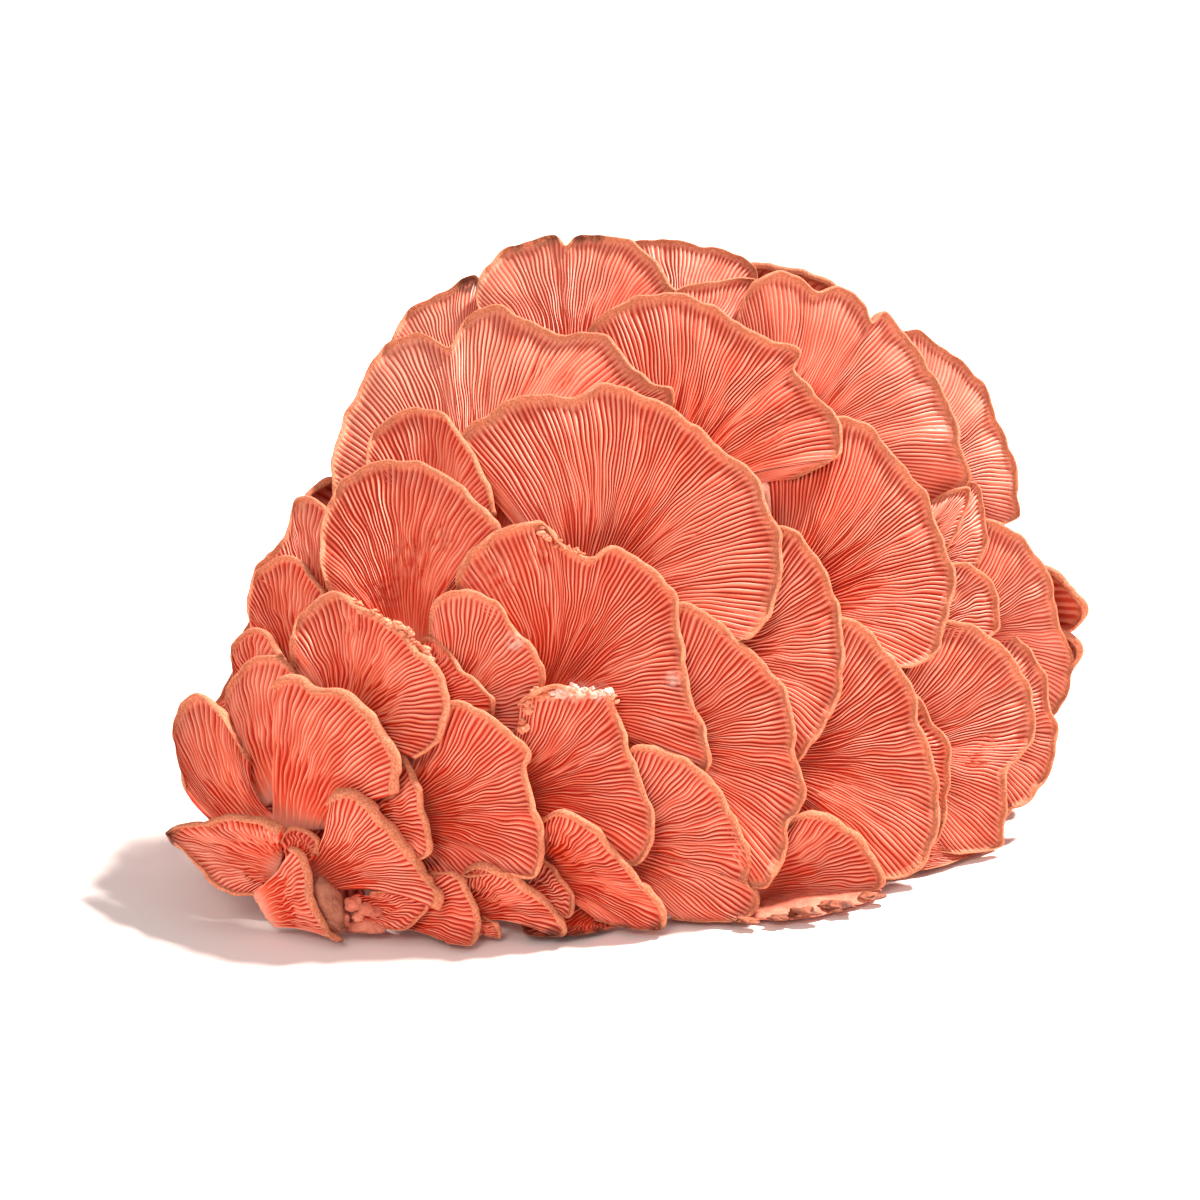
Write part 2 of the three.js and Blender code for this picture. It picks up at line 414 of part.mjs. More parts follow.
// ---------- the foot ----------
// The fused stalks fill the space between the front and rear fans, and are trimmed flat below.
const FOOT_MIDDLE = [10, 75];
const FOOT_REACH = [82, 80, 74, 70, 70, 66, 74, 88, 80, 66, 70, 78]; // every 30 degrees, from the right
const FOOT_SKIN = 11; // how deep the stalks' surface lies under the fans
const FOOT_TURNS = 24;
const FOOT_RINGS = [0.22, 0.45, 0.65, 0.82, 0.94];

function footReach(turn) {
  const place12 = (turn / (2 * Math.PI)) * 12;
  const i = Math.floor(place12) % 12;
  const t = place12 - Math.floor(place12);
  const blend = t * t * (3 - 2 * t);
  return FOOT_REACH[i] * (1 - blend) + FOOT_REACH[(i + 1) % 12] * blend;
}

function footPoint(turn, ring, side) {
  const reach = footReach(turn) * ring;
  const across = FOOT_MIDDLE[0] + reach * Math.cos(turn);
  const up = FOOT_MIDDLE[1] + reach * Math.sin(turn);
  const front = frontDepth(across, up) + FOOT_SKIN;
  const back = Math.max(front + 2, backDepth(across, up) - FOOT_SKIN);
  const open = Math.sqrt(1 - ring * ring);
  const flute = 1.5 * ring * Math.cos(9 * turn);
  const middle = (front + back) / 2;
  return place(across, up, middle + (side * (back - front) * open) / 2 + flute);
}

function footSolid() {
  const turns = [...Array(FOOT_TURNS).keys()].map((i) => (i * 2 * Math.PI) / FOOT_TURNS);
  const vertices = [footPoint(0, 0, -1)];
  const addRing = (ring, side) => turns.forEach((turn) => vertices.push(footPoint(turn, ring, side)));
  FOOT_RINGS.forEach((ring) => addRing(ring, -1));
  addRing(1, 0);
  [...FOOT_RINGS].reverse().forEach((ring) => addRing(ring, 1));
  vertices.push(footPoint(0, 0, 1));
  const rings = 2 * FOOT_RINGS.length + 1;
  const faces = [];
  for (let k = 0; k < FOOT_TURNS; k++) {
    const next = (k + 1) % FOOT_TURNS;
    faces.push(0, 1 + k, 1 + next);
    for (let r = 0; r < rings - 1; r++) {
      const [a, b] = [1 + r * FOOT_TURNS, 1 + (r + 1) * FOOT_TURNS];
      faces.push(a + k, b + k, a + next, a + next, b + k, b + next);
    }
    const lastRing = 1 + (rings - 1) * FOOT_TURNS;
    faces.push(vertices.length - 1, lastRing + next, lastRing + k);
  }
  return mainBody(solid(vertices, faces).trimByPlane([0, 0, 1], 0));
}

// ---------- the cluster ----------
const cluster = new THREE.Group();

function add(name, made, look) {
  const mesh = new THREE.Mesh(geometryOf(made), new THREE.MeshStandardMaterial(look));
  mesh.name = name;
  cluster.add(mesh);
}

const boxesMeet = (a, b) => [0, 1, 2].every((k) => a.min[k] < b.max[k] && b.min[k] < a.max[k]);
const foot = footSolid();
const taken = [foot];
add("foot_of_fused_stalks", foot, FOOT);

// Each mushroom keeps clear of the foot and of those in front of it.
Object.entries({ ...FRONT, ...SIDES, ...REAR }).forEach(([name, fan], seed) => {
  const grown = (grow) => fan.also
    ? mushroomSolid(fan, seed, grow).add(mushroomSolid(fan.also, seed + 0.5, grow))
    : mushroomSolid(fan, seed, grow);
  const whole = grown(0);
  const body = taken.reduce((rest, other) =>
    (boxesMeet(rest.boundingBox(), other.boundingBox()) ? rest.subtract(other) : rest), whole);
  taken.push(grown(CLEARANCE).add(whole));
  add(name, mainBody(body), PINK);
});

export default cluster;
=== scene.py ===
# %% [markdown]
# # A cluster of pink oyster mushrooms
#
# Some sixty mushrooms grew from one block and fused at their stalks. Each cap is a fan: it leaves the
# fused foot as a narrow stalk, widens to a wavy margin, and turns its gills outwards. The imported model
# already holds every cap and the foot at their real size and place. This lesson dresses them: it works
# out each fan again as one formula on a fine grid, with all of its gills cut as real ridges, and gives
# gills, rims, velvety upper sides and foot their finishes.

# %% Load the frame
import bpy
import math
import numpy as np
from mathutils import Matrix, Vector


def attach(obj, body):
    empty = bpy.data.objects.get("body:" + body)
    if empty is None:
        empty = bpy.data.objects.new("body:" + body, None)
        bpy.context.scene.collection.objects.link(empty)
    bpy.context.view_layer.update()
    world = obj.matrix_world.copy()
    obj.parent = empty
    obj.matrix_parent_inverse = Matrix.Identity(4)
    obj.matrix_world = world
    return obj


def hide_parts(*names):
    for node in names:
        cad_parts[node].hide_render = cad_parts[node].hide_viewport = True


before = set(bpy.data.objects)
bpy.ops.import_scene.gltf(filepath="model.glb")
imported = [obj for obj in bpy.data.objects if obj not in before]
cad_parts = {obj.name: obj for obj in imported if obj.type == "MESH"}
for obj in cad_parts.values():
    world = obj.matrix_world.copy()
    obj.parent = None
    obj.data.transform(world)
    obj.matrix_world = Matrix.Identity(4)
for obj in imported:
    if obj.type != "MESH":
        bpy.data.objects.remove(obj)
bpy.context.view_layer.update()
scene = bpy.context.scene
print("loaded", len(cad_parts), "nodes")

MM = 0.001  # the shapes are worked out in millimetres, and Blender holds metres

# %% [markdown]
# ## The space that the fans lie in
#
# The fans of the front lie like roof tiles on one bulging face. It is handiest to think of that face
# as a sheet with two coordinates, across and up, and a depth behind it. Three small functions then
# carry any (across, up, depth) into the room: the face leans back by 16 degrees, things further back
# are spread a little so that they don't hide behind those in front, and what would sink into the
# table is pressed flat on it.

# %% The bulging faces and the way into the room
LEAN = math.radians(16)
SPREAD_REACH = 707      # how far in front of the face the lines of spreading meet
FACE_MIDDLE = 90        # the height on the face that stays where it is
SHIFT = (-11.8, -86.3)  # centres the cluster on the origin
REST_SOFT = 5           # what comes lower than this is pressed towards the table
REST_GAP = 0.6          # and stays this far above it
BOWL_DEPTH = 6          # where the front face is nearest, and the across and up of that place
BOWL_MIDDLE = (-45, 15)
BOWL_FLAT = (360, 400)  # the larger, the flatter, across and up
SHOULDER = (-0.786, 0.617, 75, 75)  # its way across and up, where it begins, and how flat it is
REAR_MIDDLE = (12, 85)
REAR_DEPTH = 142
REAR_LEAN = 0.25        # the rear face comes nearer by this for each millimetre up
REAR_FLAT = (135, 250, 786)  # to the left, to the right, and up


def front_depth(across, up):
    """Depth of the front face: the squares of a bowl, and of a shoulder that falls away at the top left."""
    shoulder = np.maximum(0, SHOULDER[0] * across + SHOULDER[1] * up - SHOULDER[2])
    return (BOWL_DEPTH + (across - BOWL_MIDDLE[0]) ** 2 / BOWL_FLAT[0]
            + (up - BOWL_MIDDLE[1]) ** 2 / BOWL_FLAT[1] + shoulder ** 2 / SHOULDER[3])


def back_depth(across, up):
    """Depth of the rear face: highest in the middle, and falling off to every side by a square."""
    side, rise = across - REAR_MIDDLE[0], up - REAR_MIDDLE[1]
    return (REAR_DEPTH - REAR_LEAN * rise - rise ** 2 / REAR_FLAT[2]
            - side ** 2 / np.where(side > 0, REAR_FLAT[1], REAR_FLAT[0]))


def place(across, up, depth):
    """Spread by depth about the face's middle, then lean back, as an array of points."""
    spread = 1 + depth / SPREAD_REACH
    rise = FACE_MIDDLE + (up - FACE_MIDDLE) * spread
    return np.stack([
        across * spread + SHIFT[0],
        rise * math.sin(LEAN) + depth * math.cos(LEAN) + SHIFT[1],
        rise * math.cos(LEAN) - depth * math.sin(LEAN),
    ], axis=-1)


def rest(points):
    """Presses what would go under the table flat on it: the gap plus an exponential of the height."""
    room = REST_SOFT - REST_GAP
    low = np.minimum(points[..., 2], REST_SOFT)
    pressed = REST_GAP + room * np.exp((low - REST_SOFT) / room)
    rested = points.copy()
    rested[..., 2] = np.where(points[..., 2] < REST_SOFT, pressed, points[..., 2])
    return rested


print("the front face stands", round(float(front_depth(-45, 15))), "to",
      round(float(front_depth(80, 100))), "mm deep")

# %% [markdown]
# ## The camera
#
# The camera comes before the pieces. It looks straight at the leaning face from the point where the
# lines of spreading meet, slightly from above, with a long lens, so the cluster stays free of strong
# perspective.

# %% Camera
VIEW_POINT = place(0, FACE_MIDDLE, -SPREAD_REACH)
VIEW_AIM = place(0, FACE_MIDDLE, 0)
LENS = 84.84  # on a sensor 36 mm wide, this takes in 300 mm at the face

camera_data = bpy.data.cameras.new("camera")
camera_data.lens = LENS
camera_data.clip_start = 0.01
camera = bpy.data.objects.new("camera", camera_data)
scene.collection.objects.link(camera)
camera.location = Vector(VIEW_POINT * MM)
camera.rotation_euler = Vector((VIEW_AIM - VIEW_POINT) * MM).to_track_quat("-Z", "Y").to_euler()
scene.camera = camera
print("camera at", [round(v, 3) for v in camera.location])

# %% [markdown]
# ## The mushrooms' measurements
#
# Every mushroom has a root, where its stalk leaves the others, and a margin, the line of its wavy
# rim: both as across and up in millimetres, with a third number where the rim tucks behind its
# neighbour. `stalk` is half the width of the stalk, `sink` how deep the root lies, `curl` how far the
# rim comes forward, `lip` how thick the rim is, `aim` the angle at which the gills set out where it
# isn't towards the middle of the margin, and `back` sets the whole fan further back. `also` is a
# second small fan grown onto the first, `rear` lays a fan on the rear face, `coarse` spaces its
# gills more widely, and `flesh` is how thick it is at the stalk.
#
# They are listed from the nearest to the furthest, and each one was placed behind those before it.
# The nearest are a small rosette low at the left, round a cap curled up like a bud.

# %% The rosette at the left
fans = {
    "cap_front_diagonal": dict(root=(-73, 19), stalk=4, sink=9, curl=2, lip=3.7, margin=[
        (-68.5, 40), (-65.5, 42.4), (-62, 42.4), (-57, 38.5), (-50, 30.5), (-44, 22.5), (-39.7, 16),
        (-40.5, 12.3)]),
    "cap_left_low_point": dict(root=(-84.5, 11.5), stalk=6, sink=5, curl=2, lip=2, aim=30, margin=[
        (-77.5, 28.5), (-74.5, 26.5), (-73, 20), (-72, 14), (-69, 8.5), (-65, 2.5)]),
    "cap_left_point": dict(root=(-80, 23), stalk=4, sink=8, curl=1, lip=3.4, margin=[
        (-87, 16, 3), (-93, 16.5), (-98, 20), (-104, 27), (-109, 32), (-101, 34.5), (-93, 36.3),
        (-86, 35.7), (-81, 33)]),
    "curl_rosette": dict(root=(-76, 24), stalk=3, sink=6, curl=1, lip=1.8, margin=[
        (-80, 30, 4), (-77.5, 33.5, 4), (-73.5, 33, 4), (-70.5, 30.5, 4), (-71.5, 27, 4)]),
    "cap_rosette_large": dict(root=(-75, 32), stalk=7, sink=9, curl=4, lip=3.3, aim=92, margin=[
        (-82, 69.5, 2), (-80, 71.5), (-76, 71.3), (-71, 68.7), (-63, 67), (-58, 62), (-53.5, 56),
        (-50.5, 49), (-51.7, 42)]),
    "cap_left_outer": dict(root=(-83, 31), stalk=5, sink=9, curl=2, lip=3, aim=150, margin=[
        (-104, 44), (-106.8, 56), (-105, 64.5), (-101, 67), (-96.5, 64), (-92, 57.5), (-89, 52, 3)]),
    "cap_left_inner": dict(root=(-80, 40), stalk=5, sink=10, curl=3, lip=1.9, aim=115, back=3, margin=[
        (-93.5, 61, 1), (-93.7, 66), (-91.5, 71.5), (-86, 76), (-80.5, 76.2), (-77, 72.5), (-75, 66, 8)]),
}
print(len(fans), "mushrooms so far")

# %% [markdown]
# A row of short caps and buds hangs over the cut foot. Two of them carry a second, smaller fan.

# %% The low front
fans |= {
    "cap_low_first": dict(root=(-56, 12), stalk=4, sink=9, curl=2, lip=2, margin=[
        (-47, 20, 9), (-42, 22, 5), (-37, 22, 2), (-33, 18), (-30.5, 11), (-30, 5.5), (-32.5, 2),
        (-38, 2.6, 1)],
        also=dict(root=(-62, 13), stalk=3, sink=5, curl=1, lip=1.2, margin=[
            (-57, 17, 5), (-49, 17, 5), (-43, 14, 3), (-45, 10, 2), (-50, 7.3, 2), (-56, 8.5, 3)])),
    "cap_low_second": dict(root=(-34, 12), stalk=3.5, sink=8, curl=2, lip=2.6, margin=[
        (-35.5, 21, 6), (-31, 24, 3), (-25, 22.5), (-18, 18), (-12, 13), (-8.4, 8), (-9.7, 5.3),
        (-12, 5, 1)],
        also=dict(root=(-34, 9), stalk=2.5, sink=5, curl=1, lip=1.5, margin=[
            (-29, 11, 6), (-26, 9, 3), (-24.3, 5.5, 3), (-25.5, 2.6, 3), (-29, 3.5, 5)])),
    "bud_low_right": dict(root=(-19, 16), stalk=3, sink=6, curl=1, lip=1.8, margin=[
        (-15, 26, 8), (-11, 23, 5), (-7.5, 18, 4), (-6, 13.5, 4), (-7.5, 10.5, 4), (-12, 11.5, 6)]),
    "cap_middle_left": dict(root=(-51, 35), stalk=7, sink=12, curl=3, lip=2, aim=12, margin=[
        (-45, 60, 10), (-39, 64.5, 4), (-33, 64.2), (-26, 60), (-18, 52.7), (-18.5, 47.5), (-17, 41),
        (-14.5, 32), (-14, 26), (-16.5, 20.7), (-24, 21.5, 2), (-34, 20.5, 6), (-44, 22, 11)]),
    "cap_narrow_left": dict(root=(-62, 35), stalk=5, sink=8, curl=2, lip=1.9, margin=[
        (-56, 50, 9), (-50, 51.3, 5), (-47, 47.5, 2), (-45, 41), (-43, 32), (-42.6, 26), (-47, 25, 4),
        (-54, 27, 8)]),
    "cap_low_third": dict(root=(-15, 22), stalk=5, sink=12, curl=3, lip=2.2, margin=[
        (-16, 35, 6), (-10, 37), (-4, 35), (2, 29.5), (8, 22), (13, 16), (16.5, 11), (15.3, 6),
        (8, 6.3, 3), (-1, 9, 8)],
        also=dict(root=(0, 13), stalk=4, sink=13, curl=0, lip=1.4, margin=[
            (4, 6, 5), (-3, 4.2, 2), (-11, 3.8, 1), (-18, 5, 1.5), (-19.7, 8.5, 5)])),
}
print(len(fans), "mushrooms so far")

# %% [markdown]
# Above them stand the caps that were knocked: one torn, one crumbled and one bruised, with a notch in
# the cap of the centre.

# %% The torn caps and the centre
fans |= {
    "cap_torn": dict(root=(-26, 40), stalk=5, sink=12, curl=2, lip=1.9, margin=[
        (-20.5, 64.5, 2), (-16, 67.5), (-11, 69), (-4, 67), (2, 67), (5, 61), (7.5, 53), (11, 43.5),
        (14, 34), (12.7, 28), (9, 23.5, 2), (0, 25, 9)]),
    "cap_crumbled": dict(root=(-65, 57), stalk=6, sink=14, curl=3, lip=2.4, margin=[
        (-77, 73, 7), (-77.5, 81), (-74, 88), (-67, 92.4), (-60, 88.5), (-52, 84.5), (-45, 77),
        (-39.5, 71), (-38, 64), (-40, 55.5), (-46, 50.4, 2)]),
    "cap_split_small": dict(root=(-48, 62), stalk=4, sink=9, curl=1, lip=1.7, margin=[
        (-46, 79, 6), (-43, 81.3, 4), (-39, 79, 3), (-35.5, 74.3, 2), (-30, 69, 2), (-26, 64.5, 2),
        (-26.5, 61, 6)]),
    "cap_bruised": dict(root=(-41, 57), stalk=5, sink=12, curl=2, lip=1.7, back=1.5, margin=[
        (-42.7, 80, 5), (-42, 89), (-38, 92.4), (-31, 92.3), (-26, 90), (-21.5, 83.5), (-17, 78.5),
        (-13.8, 73), (-14.3, 67, 4), (-17, 60, 7), (-24, 55, 11)]),
    "cap_low_fourth": dict(root=(-1, 29), stalk=7, sink=14, curl=3, lip=2.2, margin=[
        (4, 50, 9), (8, 53.3, 2), (13, 53.5), (19, 51.5), (26, 47.3), (31, 41), (35, 33), (38, 26),
        (37.3, 20), (40, 14.5), (36.3, 8.5), (28, 6.7, 2), (18, 8, 7)]),
    "cap_centre": dict(root=(-15, 61), stalk=7, sink=15, curl=3, lip=2, margin=[
        (-35, 90, 10), (-36, 97, 2), (-30, 105), (-22, 109), (-15, 109.8), (-9, 104), (-3, 101),
        (4, 103.5), (12, 99), (19, 92), (20, 85), (21.5, 76), (23, 66), (27, 56), (27.4, 48), (19, 46, 9)]),
    "cap_low_last": dict(root=(36, 18), stalk=6, sink=10, curl=3, lip=3.1, margin=[
        (45, 33, 9), (49, 36.5, 3), (56, 36.5), (63, 33), (68.5, 27), (71.5, 20.5), (70, 16),
        (61, 14.6, 2), (50, 13, 6)]),
    "cap_middle_right": dict(root=(4, 53), stalk=7, sink=15, curl=3, lip=2, margin=[
        (12, 83, 11), (20, 89.5, 3), (27, 87), (34, 81), (41, 74.7), (47, 67), (49, 58), (49.3, 50),
        (52, 41.5), (47.7, 34), (46, 24), (41, 18), (32, 20, 9)]),
}
print(len(fans), "mushrooms so far")

# %% [markdown]
# The middle is carried by the greatest cap, with a fringe of narrow caps behind it at the left.

# %% The middle
fans |= {
    "cap_left_back_low": dict(root=(-84, 60), stalk=4, sink=9, curl=3, lip=1.8, aim=104, back=4, margin=[
        (-92, 71, 3), (-92, 79), (-89, 82.5), (-86, 83.3), (-82.7, 81), (-80, 76.3), (-77, 71, 6)]),
    "cap_left_back_mid": dict(root=(-75, 70), stalk=5, sink=10, curl=3, lip=1.6, aim=106, back=4, margin=[
        (-87, 81, 4), (-88.3, 90), (-86, 97), (-80, 101.2), (-75, 100), (-71.5, 95.5), (-67.5, 90, 4),
        (-66, 83, 9)]),
    "cap_upper_left": dict(root=(-48, 75), stalk=7, sink=15, curl=3, lip=2, margin=[
        (-66, 88, 8), (-69.5, 97), (-70, 106), (-67, 116.5), (-61, 122.8), (-52, 125.3), (-43, 124),
        (-35, 119), (-28, 112), (-24.5, 108), (-25, 98, 10)]),
    "cap_left_back_high": dict(root=(-71, 84), stalk=5, sink=10, curl=2, lip=1.8, aim=108, back=4, margin=[
        (-86, 89, 6), (-87, 96.5, 2), (-82, 102.5), (-78, 108), (-76.5, 115), (-72.5, 116),
        (-68, 112.7, 2), (-64, 104, 10)]),
    "cap_half_hidden": dict(root=(-42, 98), stalk=6, sink=13, curl=3, lip=1.9, margin=[
        (-58, 119, 8), (-58.3, 128), (-56, 133), (-52.5, 136), (-47, 138.2), (-40.5, 137.6),
        (-36.5, 133.5), (-32, 127), (-28, 119), (-26, 112, 4)]),
    "cap_great": dict(root=(-6, 84), stalk=8, sink=17, curl=4, lip=2.1, margin=[
        (-33, 121, 10), (-35, 131, 2), (-28, 137), (-20, 141.4), (-10, 141.3), (-5, 141.5), (1, 144.8),
        (8, 142.5), (15, 140), (24, 134), (33, 126), (39, 122), (42, 114), (45.6, 106), (45.5, 95),
        (43, 87), (37.7, 80.5), (28, 80, 9)]),
    "cap_right_crescent": dict(root=(22, 76), stalk=7, sink=15, curl=3, lip=2, margin=[
        (38, 107, 12), (46, 109, 2), (51, 105.5), (56, 98.5), (59.5, 90), (61, 82), (61, 71), (59, 63),
        (54, 55), (49.7, 49.7, 3), (41, 49, 12)]),
    "cap_right_low": dict(root=(37, 50), stalk=7, sink=14.5, curl=3, lip=2, margin=[
        (52, 86, 11), (61, 86.3, 2), (67, 83), (73, 76), (78.5, 68.5), (80.3, 59), (83.5, 51),
        (85.2, 40), (84.5, 31), (81, 23.7), (76.5, 20.3), (69, 20.3, 3), (58, 24, 11)],
        also=dict(root=(68, 28), stalk=5, sink=8, curl=0, lip=1.6, margin=[
            (94, 33, 12), (100, 27, 9), (94, 24, 7), (87, 21.5, 6), (80, 20.3, 6), (73, 19.8, 8)])),
    "cap_right_sliver": dict(root=(64, 50), stalk=5, sink=10, curl=1, lip=1.6, margin=[
        (73, 66, 9), (78.5, 67.3, 4), (83, 60.5, 3), (88, 53.5, 2), (88, 50, 2), (87.3, 42, 3),
        (86.5, 35, 3), (83, 28, 5), (75, 29, 10)]),
}
print(len(fans), "mushrooms so far")

# %% [markdown]
# Wide caps make the upper front, and the folded ribbons of a young cap fill the gap at their right.

# %% The upper front
fans |= {
    "cap_top_left_great": dict(root=(-33, 101), stalk=13, sink=16, curl=3, lip=2, aim=88, back=4, margin=[
        (-65, 110, 8), (-67.3, 122), (-64.5, 134.5), (-59.5, 144.5), (-56, 151.5), (-51, 155.3),
        (-45, 157), (-38, 153.8), (-32.8, 161.3), (-26, 164), (-18, 160.2), (-9, 156.7), (1, 157),
        (6, 151.5), (13, 144.7), (18.5, 143), (18, 138, 3), (9, 130, 11)]),
    "cap_top_middle": dict(root=(12, 110), stalk=8, sink=16, curl=4, lip=1.9, back=3, margin=[
        (-7, 147, 14), (-4, 156, 8), (1, 162, 4), (9, 166, 1), (19, 167), (27, 164.5), (32, 161.5),
        (40, 156.5), (50.5, 152.5), (49, 148), (54, 142), (60, 135), (61, 129), (59, 125.5), (48, 120, 9)]),
    "cap_right_great": dict(root=(41, 86), stalk=8, sink=16, curl=3, lip=1.9, margin=[
        (42, 126, 14), (51, 133, 9), (60, 136.2, 2), (67, 134.2), (74, 126), (82, 116.5), (84, 110.5),
        (86, 105), (89, 97), (89, 92), (86.8, 85), (85, 77.5), (79, 73.4), (73, 73, 3), (63, 73, 11)]),
    "ribbons_right": dict(root=(78, 98), stalk=4, sink=9, curl=1, lip=1.7, margin=[
        (87, 118, 13), (94, 119.5, 7), (96, 113, 6), (97, 106, 6), (94.7, 98.5, 7), (89, 95, 12)],
        also=dict(root=(76, 101), stalk=2, sink=9, curl=1, lip=1.9, margin=[
            (83, 115, 9), (89, 118, 4), (93, 118.2, 3), (91.5, 112, 3), (90, 107.5, 4), (86.5, 102, 5)])),
    "bud_right_mid": dict(root=(77, 82), stalk=4, sink=8, curl=2, lip=1.8, margin=[
        (82, 97, 9), (88, 99.3, 4), (93, 99, 3), (98, 95, 3), (100.3, 88, 3), (99.8, 83, 4), (96, 79, 7)]),
    "cap_right_outer": dict(root=(62, 51), stalk=7, sink=14, curl=3, lip=1.9, back=5, margin=[
        (77, 82, 10), (86, 85.2, 2), (93, 84), (100, 79.5), (106, 72), (109, 63), (108.3, 54.5),
        (104.5, 50), (102.5, 48.5), (102, 41), (101.5, 33), (99.8, 27), (90, 26, 3), (79, 28, 10)]),
}
print(len(fans), "mushrooms so far")

# %% [markdown]
# The furthest caps of the front show only their upper ends.

# %% The top and the far right
fans |= {
    "cap_top": dict(root=(-8, 136), stalk=8, sink=16, curl=4, lip=1.8, back=6, margin=[
        (-28, 156, 10), (-31, 165, 3), (-30, 171), (-25, 177), (-17, 180.2), (-11.4, 181.2),
        (-8.6, 179.2), (-6, 181), (3, 181.3), (9, 179.3), (14, 175), (18, 169), (22, 166, 3),
        (20, 157, 11)]),
    "cap_top_right": dict(root=(38, 118), stalk=8, sink=16, curl=4, lip=1.9, back=4, margin=[
        (33, 157, 10), (37, 168, 3), (43, 172.3), (50, 171), (55, 167.3), (60, 169), (66, 164.5),
        (68.5, 160), (71.3, 162.2), (78, 155), (84, 146), (89, 136), (91.5, 125), (93, 120, 3),
        (84, 111, 12)]),
    "cap_right_rear": dict(root=(84, 58), stalk=5, sink=10, curl=2, lip=1.7, back=8, margin=[
        (92, 83, 13), (100.5, 84, 5), (106, 79.5, 2), (111.5, 72, 1), (112.5, 65), (114.7, 57),
        (113.5, 49.5), (110.5, 43, 1), (104, 37.7, 3), (95, 37, 11)]),
    "cap_right_far": dict(root=(80, 78), stalk=6, sink=13, curl=3, lip=1.8, back=4, margin=[
        (87, 107, 13), (96, 110.4, 5), (103, 108, 2), (109, 102), (113.5, 94), (114.5, 86, 3),
        (118.5, 75, 9), (117, 67, 12), (113, 60.5, 14), (103, 57, 17)]),
    "cap_top_behind": dict(root=(18, 142), stalk=6, sink=8, curl=4, lip=1.7, back=4, margin=[
        (2, 172, 17), (9, 179.5, 12), (18, 180, 11), (27, 178.3, 11), (35, 176.3, 11), (39, 172.5, 13),
        (39, 163, 18)],
        also=dict(root=(22, 140), stalk=5, sink=10, curl=3, lip=1.6, margin=[
            (11, 160, 13), (19, 167.5, 7), (26, 169.6, 6), (33, 170.3, 6), (39, 170.3, 8), (41, 160, 13)])),
    "cap_top_left_behind": dict(root=(-34, 135), stalk=5, sink=9, curl=3, lip=1.7, back=6, margin=[
        (-54, 146, 10), (-51.5, 157, 5), (-46, 164, 4), (-38, 167.5, 4), (-34.5, 170.5, 4),
        (-31, 171.3, 5), (-28.5, 164, 12)]),
    "cap_far_right_top": dict(root=(68, 114), stalk=6, sink=12, curl=3, lip=1.8, back=7, margin=[
        (69, 155, 15), (78, 157.8, 8), (84, 154.5, 7), (92, 148.5, 6), (96.5, 143.5, 5), (100, 134, 5),
        (104, 125, 5), (104.8, 117, 6), (104.3, 110.5, 8), (93, 106, 15)]),
}
print(len(fans), "mushrooms so far")

# %% [markdown]
# Between the front and the rear lie a few caps that are seen from the side alone. They and the caps of
# the rear share their thickness and stalks, so those are set once for all of them.

# %% The sides and the rear
side_fans = {
    "cap_side_left_low": dict(root=(-64, 42), back=20, margin=[
        (-58, 14), (-72, 14), (-84, 20), (-93, 30), (-99, 42), (-101, 53), (-94, 61)]),
    "cap_side_left_high": dict(root=(-60, 72), back=24, margin=[
        (-96, 50), (-100, 58), (-93, 70), (-90, 80), (-86, 91), (-84, 100), (-76, 108)]),
    "cap_side_left_floor": dict(root=(-44, 52), back=34, margin=[
        (-26, 26), (-40, 23), (-60, 25), (-78, 30), (-90, 38), (-96, 50), (-94, 62)]),
    "cap_side_right_low": dict(root=(76, 50), back=27, margin=[
        (106, 78), (109, 66), (110, 54), (106, 44), (101, 34), (94, 27), (80, 25)]),
    "cap_side_right_high": dict(root=(82, 74), back=30, margin=[
        (104, 106), (111, 96), (114, 84), (114, 70), (113, 58), (109, 46), (100, 38)]),
    "cap_side_right_floor": dict(root=(66, 58), back=36, margin=[
        (105, 62), (108, 50), (101, 39), (92, 31), (76, 27), (58, 26), (40, 28)]),
}
